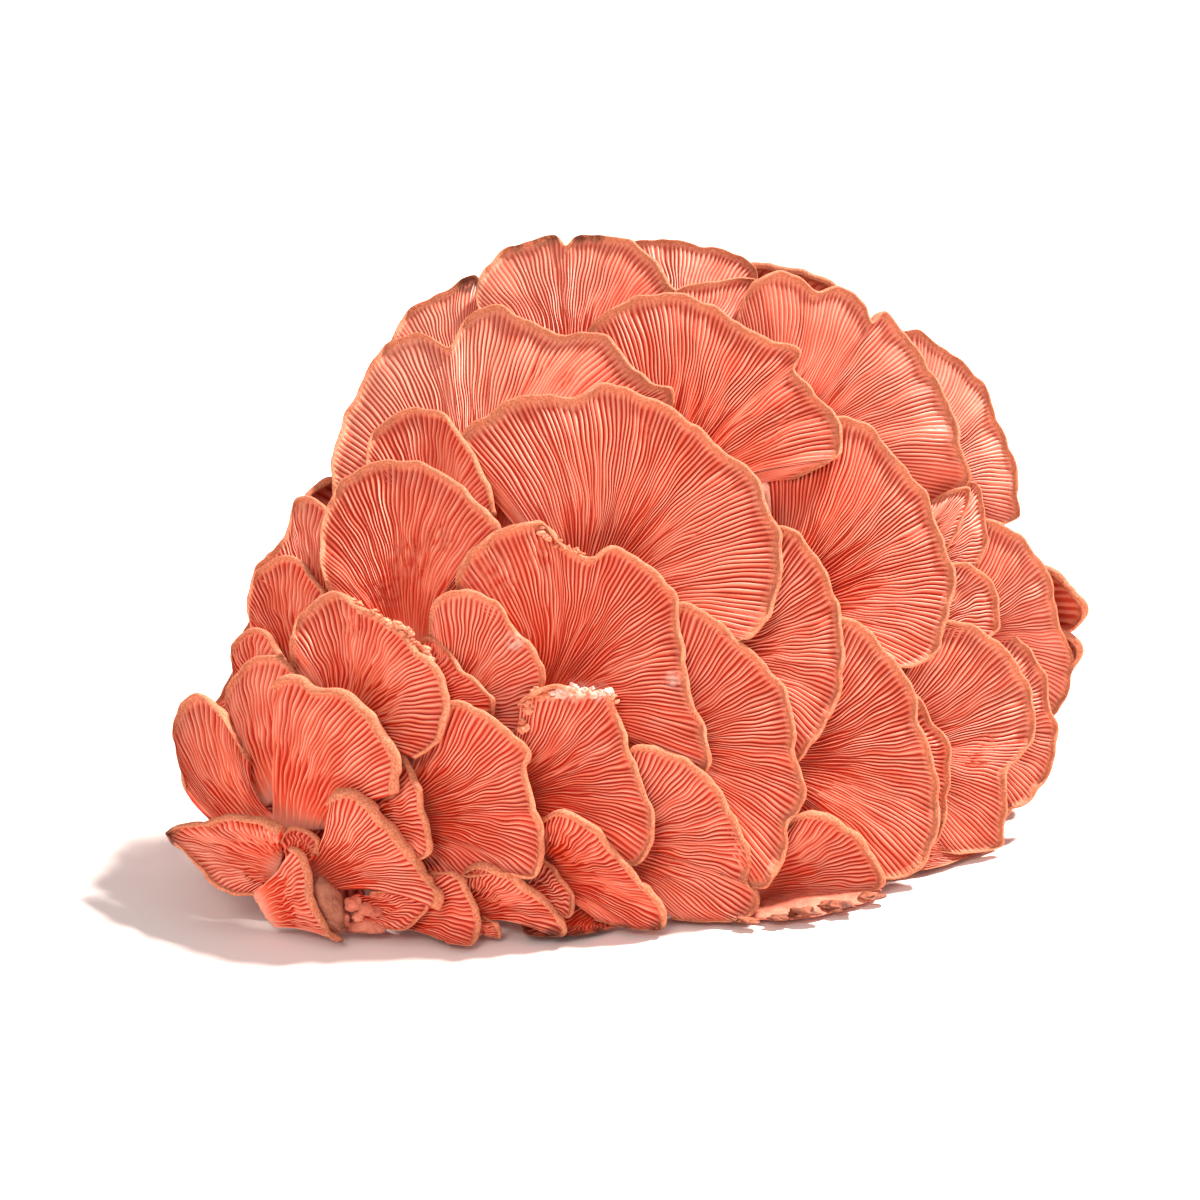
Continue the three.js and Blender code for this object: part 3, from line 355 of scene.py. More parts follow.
rear_fans = {
    "cap_rear_top": dict(root=(20, 122), margin=[
        (-6, 156, 8), (4, 167, 3), (20, 172), (34, 173), (41, 173.8), (48, 172.4), (56, 170.3),
        (63, 163), (65, 152)]),
    "cap_rear_top_left": dict(root=(-6, 114), back=8, margin=[
        (-54, 126, 2), (-52, 138, -2), (-44, 148, -3), (-35, 155, -2), (-24, 160), (-12, 163.5),
        (0, 161), (6, 152)]),
    "cap_rear_left": dict(root=(-14, 92), margin=[
        (-62, 70, 8), (-72, 82, 3), (-77, 98), (-75.5, 110), (-71, 118), (-66, 120.6), (-57, 122),
        (-46, 120)]),
    "cap_rear_right_top": dict(root=(38, 110), back=9, margin=[
        (58, 158, 8), (70, 156, 3), (81, 148), (88, 138), (91, 126), (91, 114), (86, 105)]),
    "cap_rear_right": dict(root=(46, 90), back=8, margin=[
        (90, 114, 8), (98, 108, 3), (105, 102.5), (110.5, 98.5), (114.5, 96), (118.5, 92), (121.5, 86),
        (118.5, 82.8), (108, 80)]),
    "cap_rear_right_low": dict(root=(44, 74), back=3, margin=[
        (106, 87, 4), (114, 83, 2), (120.3, 77.5), (118, 73), (112, 64), (104, 55), (92, 49), (78, 48)]),
    "cap_rear_low": dict(root=(16, 76), margin=[
        (76, 60, 4), (69, 52, 2), (52, 48), (30, 47), (8, 47), (-10, 50), (-20, 57)]),
    "cap_rear_low_left": dict(root=(-12, 78), margin=[
        (-10, 52, 6), (-28, 48, 3), (-46, 48), (-60, 53), (-70, 62), (-74, 73), (-70, 84)]),
    "cap_rear_heart_high": dict(root=(8, 96), margin=[
        (-30, 104, -4), (-30, 122, -8), (-16, 138, -8), (4, 146, -8), (26, 144, -8), (46, 134, -8),
        (58, 118, -8), (56, 102, -8)]),
    "cap_rear_heart_low": dict(root=(14, 92), back=5, margin=[
        (62, 104, -4), (66, 88, -8), (56, 68, -8), (34, 58, -8), (8, 57, -8), (-18, 64, -8),
        (-34, 80, -8), (-34, 98, -4)]),
}

for fan in side_fans.values():
    fan.update(coarse=True, stalk=7, sink=8, curl=3, lip=2)
for fan in rear_fans.values():
    fan.update(coarse=True, rear=True, stalk=8, sink=14, curl=4, lip=2.2)
for fan in (fans["cap_left_low_point"], fans["cap_low_first"]["also"]):
    fan["flesh"] = 2  # the ends of these two stalks show, and are thin
fans |= side_fans | rear_fans
print(len(fans), "mushrooms,", sum("also" in fan for fan in fans.values()), "of them with a second fan")

# %% [markdown]
# ## One fan as a surface
#
# A fan is a surface of two parameters: u runs along the margin, and v from the stalk end to the rim.
# Straight lines from the stalk would look like a paper fan. On the real cap the gills leave the stalk
# side by side and then bend apart, so each line of constant u is a curve that sets out in one shared
# direction and ends at its own point of the margin. A few slow waves and some quick ripples push the
# margin forwards and backwards.

# %% The margin and the fan's surface
WAVE_RUN = 90           # waves and ripples are counted by their turns in this many mm of margin
WAVES = [(turns, 1 / (i + 1.4)) for i, turns in enumerate((2.3, 4.1, 7.3))]  # turns, and height in mm
WAVE_DEPTH = 1.1        # the rim swings in depth by this many times the waves' sum
RIPPLES = ((8.3, 0.30), (13.1, 0.16), (22.3, 0.07))  # quicker and lower ones
RIPPLES_OUT = 0.8       # the margin also goes out and in by this share of the ripples
LEAD = 0.5              # a line of gills keeps its first direction for this share of its run
LEAST_LEAD = 0.25       # and where it turns aside, at least this share of its reach counts as run
CURL_FROM = 0.6         # the rim comes forward past this share of the way
SINK_POWER = 1.7        # towards the root, the fan goes deeper by this power of the way left


def chance(seed, index):
    """A repeatable number from 0 to 1: what is left of a large sine after the point."""
    mixed = math.sin(seed * 12.9898 + index * 78.233) * 43758.5453
    return mixed - math.floor(mixed)


def smooth(low, high, value):
    """0 below low, 1 above high, and 3t^2 - 2t^3 between them."""
    t = np.clip((value - low) / (high - low), 0, 1)
    return t * t * (3 - 2 * t)


def margin_curve(points):
    """Cubics through the points by chord length, each slope taken across the neighbouring points.

    Returns the curve as a function of u from 0 to 1, and its length."""
    marks = np.array([list(p) + [0] * (3 - len(p)) for p in points], float)
    chord = np.linalg.norm(np.diff(marks[:, :2], axis=0), axis=1)
    knots = np.r_[0, np.cumsum(chord)]
    number = np.arange(len(marks))
    before, after = np.maximum(number - 1, 0), np.minimum(number + 1, len(marks) - 1)
    slopes = (marks[after] - marks[before]) / (knots[after] - knots[before])[:, None]

    def at(u):
        along = u * knots[-1]
        i = np.clip(np.searchsorted(knots, along, side="left") - 1, 0, len(chord) - 1)
        span = chord[i][..., None]
        t = (along - knots[i])[..., None] / span
        return (marks[i] * (1 + 2 * t) * (1 - t) ** 2 + marks[i + 1] * t * t * (3 - 2 * t)
                + span * (slopes[i] * t * (1 - t) ** 2 - slopes[i + 1] * t * t * (1 - t)))

    return at, knots[-1]


def waves(u, length, seed, turns_and_heights, first):
    """A sum of sines along the margin, each with its own turns in a run, height and chance phase."""
    runs = u * length / WAVE_RUN
    return sum(height * np.sin(2 * np.pi * (turns * runs + chance(seed, first + i)))
               for i, (turns, height) in enumerate(turns_and_heights))


def fan_surface(fan, seed):
    """A fan as a function of u and v that returns points, and its margin's length.

    Each line of u is a curve of three points: on the stalk, ahead of it by half its run, and on the
    margin. Its depth is the face's depth, deeper towards the root by a power of the way that is
    left, and nearer at the rim by the curl and the waves, less the tuck."""
    at, length = margin_curve(fan["margin"])
    root = np.array(fan["root"], float)
    middle = at(np.array(0.5))[:2] - root
    aim = math.radians(fan["aim"]) if "aim" in fan else math.atan2(middle[1], middle[0])
    ahead = np.array([math.cos(aim), math.sin(aim)])
    aside = np.array([math.sin(aim), -math.cos(aim)])

    def point(u, v):
        edge = at(u)
        start = root + aside * fan["stalk"] * (2 * u - 1)[..., None]
        away = edge[..., :2] - start
        reach = np.linalg.norm(away, axis=-1)
        lead = LEAD * np.maximum(LEAST_LEAD * reach, away @ ahead)
        bend = start + ahead * lead[..., None]
        w = v[..., None]
        ripple = waves(u, length, seed, RIPPLES, 3)
        rim = edge[..., :2] + away / reach[..., None] * (RIPPLES_OUT * ripple)[..., None]
        spot = (1 - w) ** 2 * start + 2 * w * (1 - w) * bend + w * w * rim
        across, up = spot[..., 0], spot[..., 1]
        rise = np.maximum(0, (v - CURL_FROM) / (1 - CURL_FROM)) ** 2
        behind = fan["sink"] * (1 - np.minimum(v, 1)) ** SINK_POWER
        forward = (fan["curl"] * rise + WAVE_DEPTH * waves(u, length, seed, WAVES, 0) * v * v
                   + waves(u, length, seed, RIPPLES, 6) * np.maximum(v, 0) ** 5)
        if fan.get("rear"):
            depth = back_depth(across, up) - behind + fan.get("back", 0) - edge[..., 2] * v - forward
        else:
            depth = front_depth(across, up) + behind + fan.get("back", 0) + edge[..., 2] * v - forward
        return place(across, up, depth)

    return point, length


def unit(vectors):
    """Vectors divided by their lengths."""
    return vectors / np.maximum(np.linalg.norm(vectors, axis=-1, keepdims=True), 1e-9)


def directions(point, u, v):
    """Outwards to the margin, and out of the gill side, from small steps of u and v."""
    step = 0.01
    along = unit(point(np.minimum(1, u + step), v) - point(np.maximum(0, u - step), v))
    outwards = unit(point(u, v + step) - point(u, v - step))
    return outwards, unit(np.cross(along, outwards))


great, great_length = fan_surface(fans["cap_great"], 27)
print("the great cap's margin is", round(float(great_length)), "mm long")

# %% [markdown]
# ## Gills
#
# The underside of a cap is a comb of thin blades about 1.3 mm apart. Only every fourth one reaches
# the stalk: the others start on the way, so that the comb stays equally dense where the fan widens.
# A picture of lines would look flat as soon as light grazes it, so each gill is a real ridge here.
# Three columns of the grid make one gill, a furrow and the two sides of its crest, and the crest
# sinks into the cap where its gill hasn't begun. The comb sinks a little before the rim and ends
# there in a small step, so that the rim, a smooth rounded roll, throws a line of shadow on it.

# %% Where each gill begins
NEAR_PITCH = 1.45      # from one gill to the next at the margin, on the nearest caps
FAR_PITCH = 1.15       # and on those furthest back
NEAR_FACE, FAR_FACE = 10, 80  # the pitch changes between these depths of the face
REAR_PITCH = 2.4       # the fans of the sides and the rear show little of their gills
LATE_START = (0.34, 0.24)   # an odd gill begins here on its way to the rim, plus a draw times this
EARLY_START = (0.1, 0.12)   # the others here, but for every fourth one


def gill_start(count, seed):
    """Where each gill begins on its way: the fourth ones at the stalk, the odd ones past a third."""
    draw = np.random.default_rng(1000 + int(10 * seed)).random(count)
    number = np.arange(count)
    from_here, more = np.where(number[:, None] % 2 == 1, LATE_START, EARLY_START).T
    return np.where(number % 4 == 0, -1.0, from_here + more * draw)


print("a gill of cap_great starts at", np.round(gill_start(6, 27), 2))

# %% The comb as a grid
CREST_WIDTH = 0.22     # a crest's flat top, as a share of the pitch
JITTER = 0.13          # how far a gill may stand off its place, as a share of the pitch
GROWS_OVER = 0.1       # a gill grows to its height over this share of the way
COMB_GROWS = (0.25, 0.45)  # the comb is this high at the stalk, and full from this share of the way
CREST_LEAST = 0.76     # a crest's least height, to which the next two add their shares
CREST_DRAW = 0.16      # a draw for each gill
CREST_SWELL = (0.08, 17)  # and a wave along the gill, with its turn along v
WANDER = 0.55          # how far the gills stray from their lines
STRAYS = ((1, 7, 13, 1), (0.6, 3.1, -21, 2), (0.5, 1.9, 31, 0))  # height, length, turn along v, phase


def strayed(u, v, length, seed):
    """u moved by a sum of slanting sines, which fades out at the fan's ends, its stalk and its rim."""
    phase = 2 * np.pi * chance(seed, 11)
    stray = sum(height * np.sin(u * length / long + turn * v + share * phase)
                for height, long, turn, share in STRAYS)
    fade = np.sin(np.pi * np.clip(u, 0, 1)) ** 0.5 * np.sin(np.pi * v) ** 0.7
    return np.clip(u + WANDER / length * stray * fade, 0, 1)


def gill_grid(count, rows, seed, length):
    """u, v and the crest's height from 0 to 1 on a grid of three columns a gill.

    Column 0 of each three is the furrow, and the other two are the sides of the crest's flat top. Its
    height grows out of the cap where its gill begins, times each gill's own slow unevenness. The last
    result tells how far the whole comb has grown out of the stalk."""
    columns = 3 * count + 1
    line = np.arange(columns)
    gill = np.minimum(line // 3, count - 1)
    draw = np.random.default_rng(2000 + int(10 * seed)).random((3, count))[:, gill]
    side = np.array([0, -1, 1])[line % 3] * (3 * CREST_WIDTH - 1) / 2
    shift = np.where((line == 0) | (line == columns - 1), 0, side + 3 * JITTER * (2 * draw[0] - 1))
    u = np.repeat(((line + shift) / (columns - 1))[:, None], rows, axis=1)
    v = np.repeat(np.linspace(0, 1, rows)[None, :], columns, axis=0)
    start = gill_start(count, seed)[gill][:, None]
    crest = (line % 3 != 0)[:, None] * smooth(start, start + GROWS_OVER, v)
    swell, turn = CREST_SWELL
    uneven = CREST_LEAST + CREST_DRAW * draw[1, :, None]
    uneven = uneven + swell * np.sin(turn * v + 2 * np.pi * draw[2, :, None])
    grown = COMB_GROWS[0] + (1 - COMB_GROWS[0]) * smooth(0, COMB_GROWS[1], v)
    return strayed(u, v, length, seed), v, crest * uneven, grown


print("its grid has", gill_grid(6, 5, 27, great_length)[0].shape, "columns and rows for six gills")

# %% [markdown]
# ## Painted haze and marks of life
#
# The caps furthest back are painted paler, as painted haze, and have shallower gills. Some gills are
# chipped, some rims have dried brown, and torn flesh is white. Each of these is a list of round places
# on the face, and any point of a cap can be asked how near it is to one.

# %% Painted haze, chips, dried and torn places
# between these depths the caps are painted paler, as painted haze
HAZE_FROM, HAZE_TO = 58, 108  # the background turns hazy between these depths of the face
CHIPPED = [  # places where gills are chipped: across, up and radius
    (-48, 100, 7), (-40, 106, 5), (-53, 92, 5), (-25, 96, 7), (-15, 101, 5), (-31, 92, 4), (-15, 148, 3),
    (-9, 145, 3), (12, 132, 3), (46, 136, 4), (43, 131, 3), (97, 55, 3), (94, 50, 3), (-62, 84, 4),
    (-20, 80, 3), (19, 70, 3), (24, 107, 2), (73, 76, 2), (-8, 66, 4),
]
CHIPPED_SHARE = 0.45    # of the grid's points in such a place, this share is chipped
DRIED = [  # places that have dried brown
    (-109, 32, 3.5), (-65.5, 2.5, 3.5), (-15, 181, 3), (-12, 181.3, 3), (-5, 181.4, 3), (-1, 181.6, 3),
    (14.5, 6, 4), (-18, 5, 5), (-12, 4.5, 5), (-6, 4.5, 5), (0, 5, 5), (6, 6, 4), (10, 5, 4),
    (35, 8, 4.5), (31, 6.5, 3.5), (26, 5.5, 3),
    (121.5, 86, 3.5), (120, 77, 3), (-21, 179.5, 3), (-33, 169, 4), (24, 3, 3), (-108, 29, 2.5),
]
PALE = [  # places where the flesh is torn or rubbed white
    (-6, 67.5, 4), (0, 67, 3), (18.5, 70, 3), (-21.5, 79.5, 3),
]
CORE = 0.45             # such a place is at its full strength within this share of its radius


def face_spot(points):
    """The way back from the room: each point's place across and up as seen from the front."""
    back, height = points[..., 1] - SHIFT[1], points[..., 2]
    rise = back * math.sin(LEAN) + height * math.cos(LEAN)
    spread = 1 + (back * math.cos(LEAN) - height * math.sin(LEAN)) / SPREAD_REACH
    return (points[..., 0] - SHIFT[0]) / spread, FACE_MIDDLE + (rise - FACE_MIDDLE) / spread


def haze_of(points):
    """0 on the near caps and 1 on the furthest, by how deep the face lies there."""
    across, up = face_spot(points)
    return smooth(HAZE_FROM, HAZE_TO, front_depth(across, up))


def near_to(points, spots):
    """1 in the core of any of the spots, each across, up and a radius, and 0 past its radius."""
    across, up = face_spot(points)
    away = [np.hypot(across - x, up - z) / radius for x, z, radius in spots]
    return smooth(1, CORE, np.minimum.reduce(away))


def broken(points, seed):
    """Near 1 where a gill is chipped: chance pieces inside the chipped places."""
    draw = np.random.default_rng(4000 + int(10 * seed)).random(points.shape[:2])
    return near_to(points, CHIPPED) * (draw > 1 - CHIPPED_SHARE)


print(len(CHIPPED), "chipped places,", len(DRIED), "dried and", len(PALE), "pale ones")

# %% [markdown]
# ## A whole cap
#
# The rows of the grid run from the stalk over the gills, round the rim and back over the upper side,
# and join up again at the stalk end. The rim is thickest where it faces up and to the right, thinner
# where it hangs down or faces left, and thin where it tucks behind a neighbour. Along with each point
# go numbers for the finishes: how high on a gill it lies, how far out, whether it is rim, whether it
# is upper side, and the cap's own tone.

# %% The rim's thickness and its place
THICK_SIDE = (0.5, 0.87)  # rims that face this way, across and up, are the thickest
THINNEST = 0.45         # the share of the lip that is left on the other side
THINS = (-0.6, 0.5)     # between these cosines of the angle to that way
TUCKED = (3, 9)         # a tuck past the first begins to thin the rim, and past the second has halved it
BAND = 0.4              # the smooth strip between the gills' ends and the rim's roll
RIM_MOST = 0.15         # neither the roll nor the strip takes more of the way than this


def rim_share(fan, u):
    """The rim's thickness as a share of the fan's lip: by the way it faces, and by its tuck."""
    at, _ = margin_curve(fan["margin"])
    along = unit((at(np.minimum(1, u + 0.01)) - at(np.maximum(0, u - 0.01)))[..., :2])
    facing = along[..., 0] * THICK_SIDE[1] - along[..., 1] * THICK_SIDE[0]
    thickness = THINNEST + (1 - THINNEST) * smooth(*THINS, facing)
    return thickness * (1 - 0.5 * smooth(*TUCKED, at(u)[..., 2]))


def rim_lines(fan, point, rim_u):
    """The rim's thickness, and the v at which its roll and the smooth strip before it begin."""
    lip = fan["lip"] * rim_share(fan, rim_u)
    one, step = np.ones_like(rim_u), 0.04
    run = np.linalg.norm(point(rim_u, one) - point(rim_u, (1 - step) * one), axis=-1)
    speed = np.maximum(1, run / step)
    rim_v = 1 - np.clip(lip / 2 / speed, 0, RIM_MOST)
    return lip, rim_v, rim_v - np.clip(BAND / speed, 0, RIM_MOST)


great_lip, _, _ = rim_lines(fans["cap_great"], great, np.linspace(0, 1, 50)[:, None])
print("the great cap's rim is", round(float(great_lip.min()), 1), "to",
      round(float(great_lip.max()), 1), "mm thick")

# %% [markdown]
# The depth of a furrow is what makes the gills stand out. It is shallow at the stalk, full in the
# middle, and less in the haze and near the rim, where the upper side lies close behind it. On the
# thinnest rims a furrow can still come through the upper side by a fraction of a millimetre. The
# whole comb sinks a little before the rim.

# %% The furrows' depth
GILL_DEEP = 1.6         # a furrow's depth
HAZY_DEEP = 0.45        # what is left of that depth in the hazy background
RIM_LESS = 0.35         # a furrow loses this share of its depth towards the rim
LESS_FROM = 0.8         # from this share of the way
SUNK = 0.4              # how far the crests sink before the rim, as a share of its thickness
SINKS_FROM = 0.84       # from this share of the way
END_STEP = 0.1          # the comb's last row lies this much lower than its crests
THIN_RIM = 0.7          # at the rim, no furrow is deeper than this share of its thickness
RIM_SLOPE = 12          # and further in, it may be deeper by this many millimetres for all of v


def furrow_depths(places, s, grown, lip):
    """How deep the furrows lie below the crests, and how far the comb has sunk."""
    hazy = 1 - (1 - HAZY_DEEP) * haze_of(places)
    deep = GILL_DEEP * grown * hazy * (1 - RIM_LESS * smooth(LESS_FROM, 1, s))
    return deep, SUNK * lip * smooth(SINKS_FROM, 1, s)


def comb_below(deep, sunk, crest, s, lip):
    """How far each point of the comb lies below the fan's surface."""
    below = np.minimum(deep * (1 - crest) + sunk, THIN_RIM * lip + RIM_SLOPE * (1 - s))
    below[:, -1:] = SUNK * lip + END_STEP
    return below


# %% Rows of points of one fan
GILL_ROWS = 33          # one more than a multiple of UPPER_STEP
UPPER_STEP = 4          # the upper side has one row for four of the gill side's
LIP_TURNS = 5           # rows round the rim's roll
FEWEST_GILLS = 4
FLESH_AT_STALK = 5      # the cap's thickness at the stalk
STEP_UP = 0.35          # the rim stands this far above the crests before they sink
UNDER_GILLS = 0.5       # the least flesh between a furrow and the rows of the upper side past the rim
CHIP = 0.35             # what a chipped gill loses of its height
UNBEGUN = 0.55          # a gill that hasn't begun yet is coloured as if it were this high
ENDS_AS = 0.75          # and the comb's last row as if it were this high


def layer(point, u, v, below, ahead, ridge, rim, upper):
    """Points of the fan, sunk below it and pushed outwards by millimetres, and their numbers."""
    outwards, normal = directions(point, u, v)
    spots = point(u, v) - normal * below[..., None] + outwards * ahead[..., None]
    return spots, ridge, v, rim, upper


def rim_layers(point, rim_u, rim_v, inner_v, lip):
    """Two rows over the smooth strip, and the roll: half a circle as thick as the rim."""
    one = np.ones_like(rim_u)
    strip = [layer(point, rim_u, inner_v + (rim_v - inner_v) * share, -STEP_UP * one, 0 * one,
                   one, one, 0 * one) for share in (0.2, 1.0)]
    turn = np.pi * np.arange(1, LIP_TURNS + 1) / (LIP_TURNS + 1)
    flat = np.repeat(one, LIP_TURNS, axis=1)
    below = (lip + STEP_UP) / 2 * (1 - np.cos(turn)) - STEP_UP
    velvet = flat * smooth(0.3, 1.0, turn / np.pi) * 0.5
    return strip + [layer(point, flat * rim_u, flat * rim_v, below, lip / 2 * np.sin(turn),
                          flat, flat, velvet)]


def upper_layer(fan, point, u, v, rim_v, lip, furrow):
    """The upper side from the rim back to the stalk. Past the rim, its own rows clear the furrows."""
    back_s = np.r_[1.0, np.linspace(0, 1, GILL_ROWS)[::-UPPER_STEP]]
    back_u = np.concatenate([u[:, -1:], u[:, ::-UPPER_STEP]], axis=1)
    back_v = np.concatenate([rim_v, v[:, ::-UPPER_STEP]], axis=1)
    thick = lip + (fan.get("flesh", FLESH_AT_STALK) - lip) * (1 - back_v) ** 1.5
    thick[:, 2:] = np.maximum(thick[:, 2:], furrow[:, ::-UPPER_STEP][:, 1:] + UNDER_GILLS)
    rim_left = np.repeat(smooth(0.9, 1.0, back_s)[None], len(u), axis=0)
    return layer(point, back_u, back_v, thick, 0 * back_v, 1 - 0 * back_v, rim_left, 1 - 0.5 * rim_left)


def cap_rows(fan, seed):
    """All points of one fan on its grid, and their four numbers: ridge, v, rim and upper side."""
    point, length = fan_surface(fan, seed)
    far = smooth(NEAR_FACE, FAR_FACE, front_depth(*fan["root"]))
    pitch = REAR_PITCH if fan.get("coarse") else NEAR_PITCH + (FAR_PITCH - NEAR_PITCH) * far
    count = max(FEWEST_GILLS, round(length / pitch))
    u, s, crest, grown = gill_grid(count, GILL_ROWS, seed, length)
    lip, rim_v, inner_v = rim_lines(fan, point, u[:, -1:])
    v = s * inner_v
    places = point(u, v)
    crest = crest * (1 - CHIP * broken(places, seed))
    deep, sunk = furrow_depths(places, s, grown, lip)
    blade = (np.arange(len(u)) % 3 != 0)[:, None]
    ridge = np.where(s < 1, np.maximum(1 - grown * (1 - crest), UNBEGUN * blade), ENDS_AS)
    below = comb_below(deep, sunk, crest, s, lip)
    layers = [layer(point, u, v, below, 0 * v, ridge, smooth(0.985, 1, s), 0 * v),
              *rim_layers(point, u[:, -1:], rim_v, inner_v, lip),
              upper_layer(fan, point, u, v, rim_v, lip, deep + sunk)]
    return [np.concatenate(same, axis=1) for same in zip(*layers)]


great_rows = cap_rows(fans["cap_great"], 27)[0]
print("cap_great has", great_rows.shape[0], "columns of", great_rows.shape[1], "points")

# %% [markdown]
# Neighbouring columns are joined by quads, all the way round the loop of rows. The first and the last
# column are left open by that, so a ladder of small faces closes each, from the gill side's edge to
# the upper side's.

# %% Faces of one fan
def ring_quads(rings, turns):
    """Quads between neighbouring rings of points, where each ring has as many points, or turns."""
    ring, here = np.meshgrid(np.arange(rings - 1) * turns, np.arange(turns), indexing="ij")
    after = (here + 1) % turns
    return np.stack([ring + here, ring + turns + here, ring + turns + after, ring + after], -1).reshape(-1, 4)


def cap_faces(columns, total, offset):
    """Quads between neighbouring columns round the loop of rows, and the ladders of both ends."""
    faces = (ring_quads(columns, total) + offset).tolist()
    last = offset + (columns - 1) * total
    first_back = GILL_ROWS + 2 + LIP_TURNS
    rungs = [(i, total - 1 - i // UPPER_STEP) for i in range(0, GILL_ROWS, UPPER_STEP)]
    loops = [list(range(low, high + 1)) + [high_back, low_back]
             for (low, low_back), (high, high_back) in zip(rungs[:-1], rungs[1:])]
    loops.append(list(range(GILL_ROWS - 1, first_back + 2)))
    for loop in loops:
        faces.append([offset + i for i in loop])
        faces.append([last + i for i in reversed(loop)])
    return faces


# %% One cap as an object
def mesh_object(name, points, faces, material, maps=None):
    """Makes a mesh of points in millimetres, smooth, with colour attributes, riding on the root."""
    mesh = bpy.data.meshes.new(name)
    mesh.from_pydata((points * MM).tolist(), [], faces)
    mesh.polygons.foreach_set("use_smooth", [True] * len(mesh.polygons))
    for title, values in (maps or {}).items():
        carried = mesh.attributes.new(title, "FLOAT_COLOR", "POINT")
        colours = np.ones((len(points), 4), np.float32)
        colours[:, :3] = values
        carried.data.foreach_set("color", colours.ravel())
    mesh.materials.append(material)
    mesh.update()
    piece = bpy.data.objects.new(name, mesh)
    scene.collection.objects.link(piece)
    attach(piece, "root")
    return piece


def cap_mesh(fan, seed):
    """Points, faces and colour maps of a mushroom: its fan, and the second one grown onto it."""
    members = [(fan, seed)] + ([(fan["also"], seed + 0.5)] if "also" in fan else [])
    points, faces, maps = [], [], {"gill_map": [], "cap_map": [], "mark_map": []}
    for member, member_seed in members:
        spots, ridge, v, rim, upper = cap_rows(member, member_seed)
        faces += cap_faces(*ridge.shape, sum(map(len, points)))
        spots = rest(spots.reshape(-1, 3))
        tone = np.full(len(spots), chance(member_seed, 21))
        marks = [near_to(spots, kind) for kind in (DRIED, PALE, CHIPPED)]
        maps["gill_map"].append(np.stack([ridge.ravel(), v.ravel(), rim.ravel()], axis=1))
        maps["cap_map"].append(np.stack([upper.ravel(), tone, haze_of(spots)], axis=1))
        maps["mark_map"].append(np.stack(marks, axis=1) * (0 if fan.get("rear") else 1))
        points.append(spots)
    return np.concatenate(points), faces, {title: np.concatenate(rows) for title, rows in maps.items()}


trial_points, trial_faces, _ = cap_mesh(fans["cap_great"], 27)
print("cap_great has", len(trial_points), "points and", len(trial_faces), "faces")

# %% [markdown]
# ## Finishes
#
# The finishes are shader nodes, and a long chain of nodes is hard to read when each one is added by
# hand. The small class below wraps a node's output, so that a sum or a product of two outputs can be
# written as plain arithmetic, and any other node comes from one method.

# %% Shader arithmetic
class Wire:
    """The output of a shader node: arithmetic on it adds Math nodes, and node() adds any other."""

    def __init__(self, tree, socket):
        self.tree = tree
        self.socket = socket

    def node(self, kind, inputs, output=0, **settings):
        """Adds a node: first its settings, then its inputs' values or wires."""
        made = self.tree.nodes.new(kind)
        for name, value in settings.items():
            setattr(made, name, value)
        for name, value in inputs.items():
            if isinstance(value, Wire):
                self.tree.links.new(value.socket, made.inputs[name])
            else:
                made.inputs[name].default_value = value
        return Wire(self.tree, made.outputs[output])

    def math(self, operation, *values, **settings):
        return self.node("ShaderNodeMath", dict(enumerate(values)), operation=operation, **settings)

    def __add__(self, other):
        return self.math("ADD", self, other)

    def __sub__(self, other):
        return self.math("SUBTRACT", self, other)

    def __rsub__(self, other):
        return self.math("SUBTRACT", other, self)

    def __mul__(self, other):
        return self.math("MULTIPLY", self, other)

    __radd__ = __add__
    __rmul__ = __mul__

    def clamped(self):
        """Kept between 0 and 1."""
        return self.math("ADD", self, 0, use_clamp=True)

    def between(self, low, high):
        """0 below low, 1 above high, smooth between them."""
        inputs = {"Value": self, "From Min": low, "From Max": high}
        return self.node("ShaderNodeMapRange", inputs, interpolation_type="SMOOTHSTEP")

    def mix(self, low, high):
        """A colour from low, where this is 0, to high, where it is 1."""
        pair = {key: value if isinstance(value, Wire) else (*value, 1)
                for key, value in ((6, low), (7, high))}
        return self.node("ShaderNodeMix", {0: self, **pair}, output=2, data_type="RGBA")

    def scaled(self, x, y, z):
        """A vector with each of its directions scaled."""
        return self.node("ShaderNodeVectorMath", {0: self, 1: (x, y, z)}, operation="MULTIPLY")

    def noise(self, scale, detail=2.0, roughness=0.5):
        """Clouds from 0 to 1 on this vector, scale to the metre."""
        inputs = {"Vector": self, "Scale": scale, "Detail": detail, "Roughness": roughness}
        return self.node("ShaderNodeTexNoise", inputs)

    def parts(self):
        """The three channels of a colour."""
        split = self.node("ShaderNodeSeparateColor", {"Color": self})
        return [Wire(self.tree, socket) for socket in split.socket.node.outputs[:3]]


def new_finish(name, **fixed):
    """A material with its shader's constant sockets set. Returns it, its shader and a wire to start from."""
    material = bpy.data.materials.new(name)
    material.use_nodes = True
    tree = material.node_tree
    shader = tree.nodes["Principled BSDF"]
    for socket, value in fixed.items():
        shader.inputs[socket.replace("_", " ")].default_value = value
    coordinates = tree.nodes.new("ShaderNodeTexCoord")
    return material, shader, Wire(tree, coordinates.outputs["Object"])


def feed(shader, socket, wire):
    """Links a wire to one of the shader's sockets."""
    wire.tree.links.new(wire.socket, shader.inputs[socket])


def roughen(shader, height, strength, distance):
    """Small relief on the surface: a height's Bump node, its distance in metres, feeds the normal."""
    relief = {"Strength": strength, "Distance": distance, "Height": height}
    feed(shader, "Normal", height.node("ShaderNodeBump", relief))


def painted(start, title):
    """The three numbers that a mesh carries under a title."""
    return start.node("ShaderNodeAttribute", {}, attribute_name=title, attribute_type="GEOMETRY").parts()


print("shader arithmetic is ready")
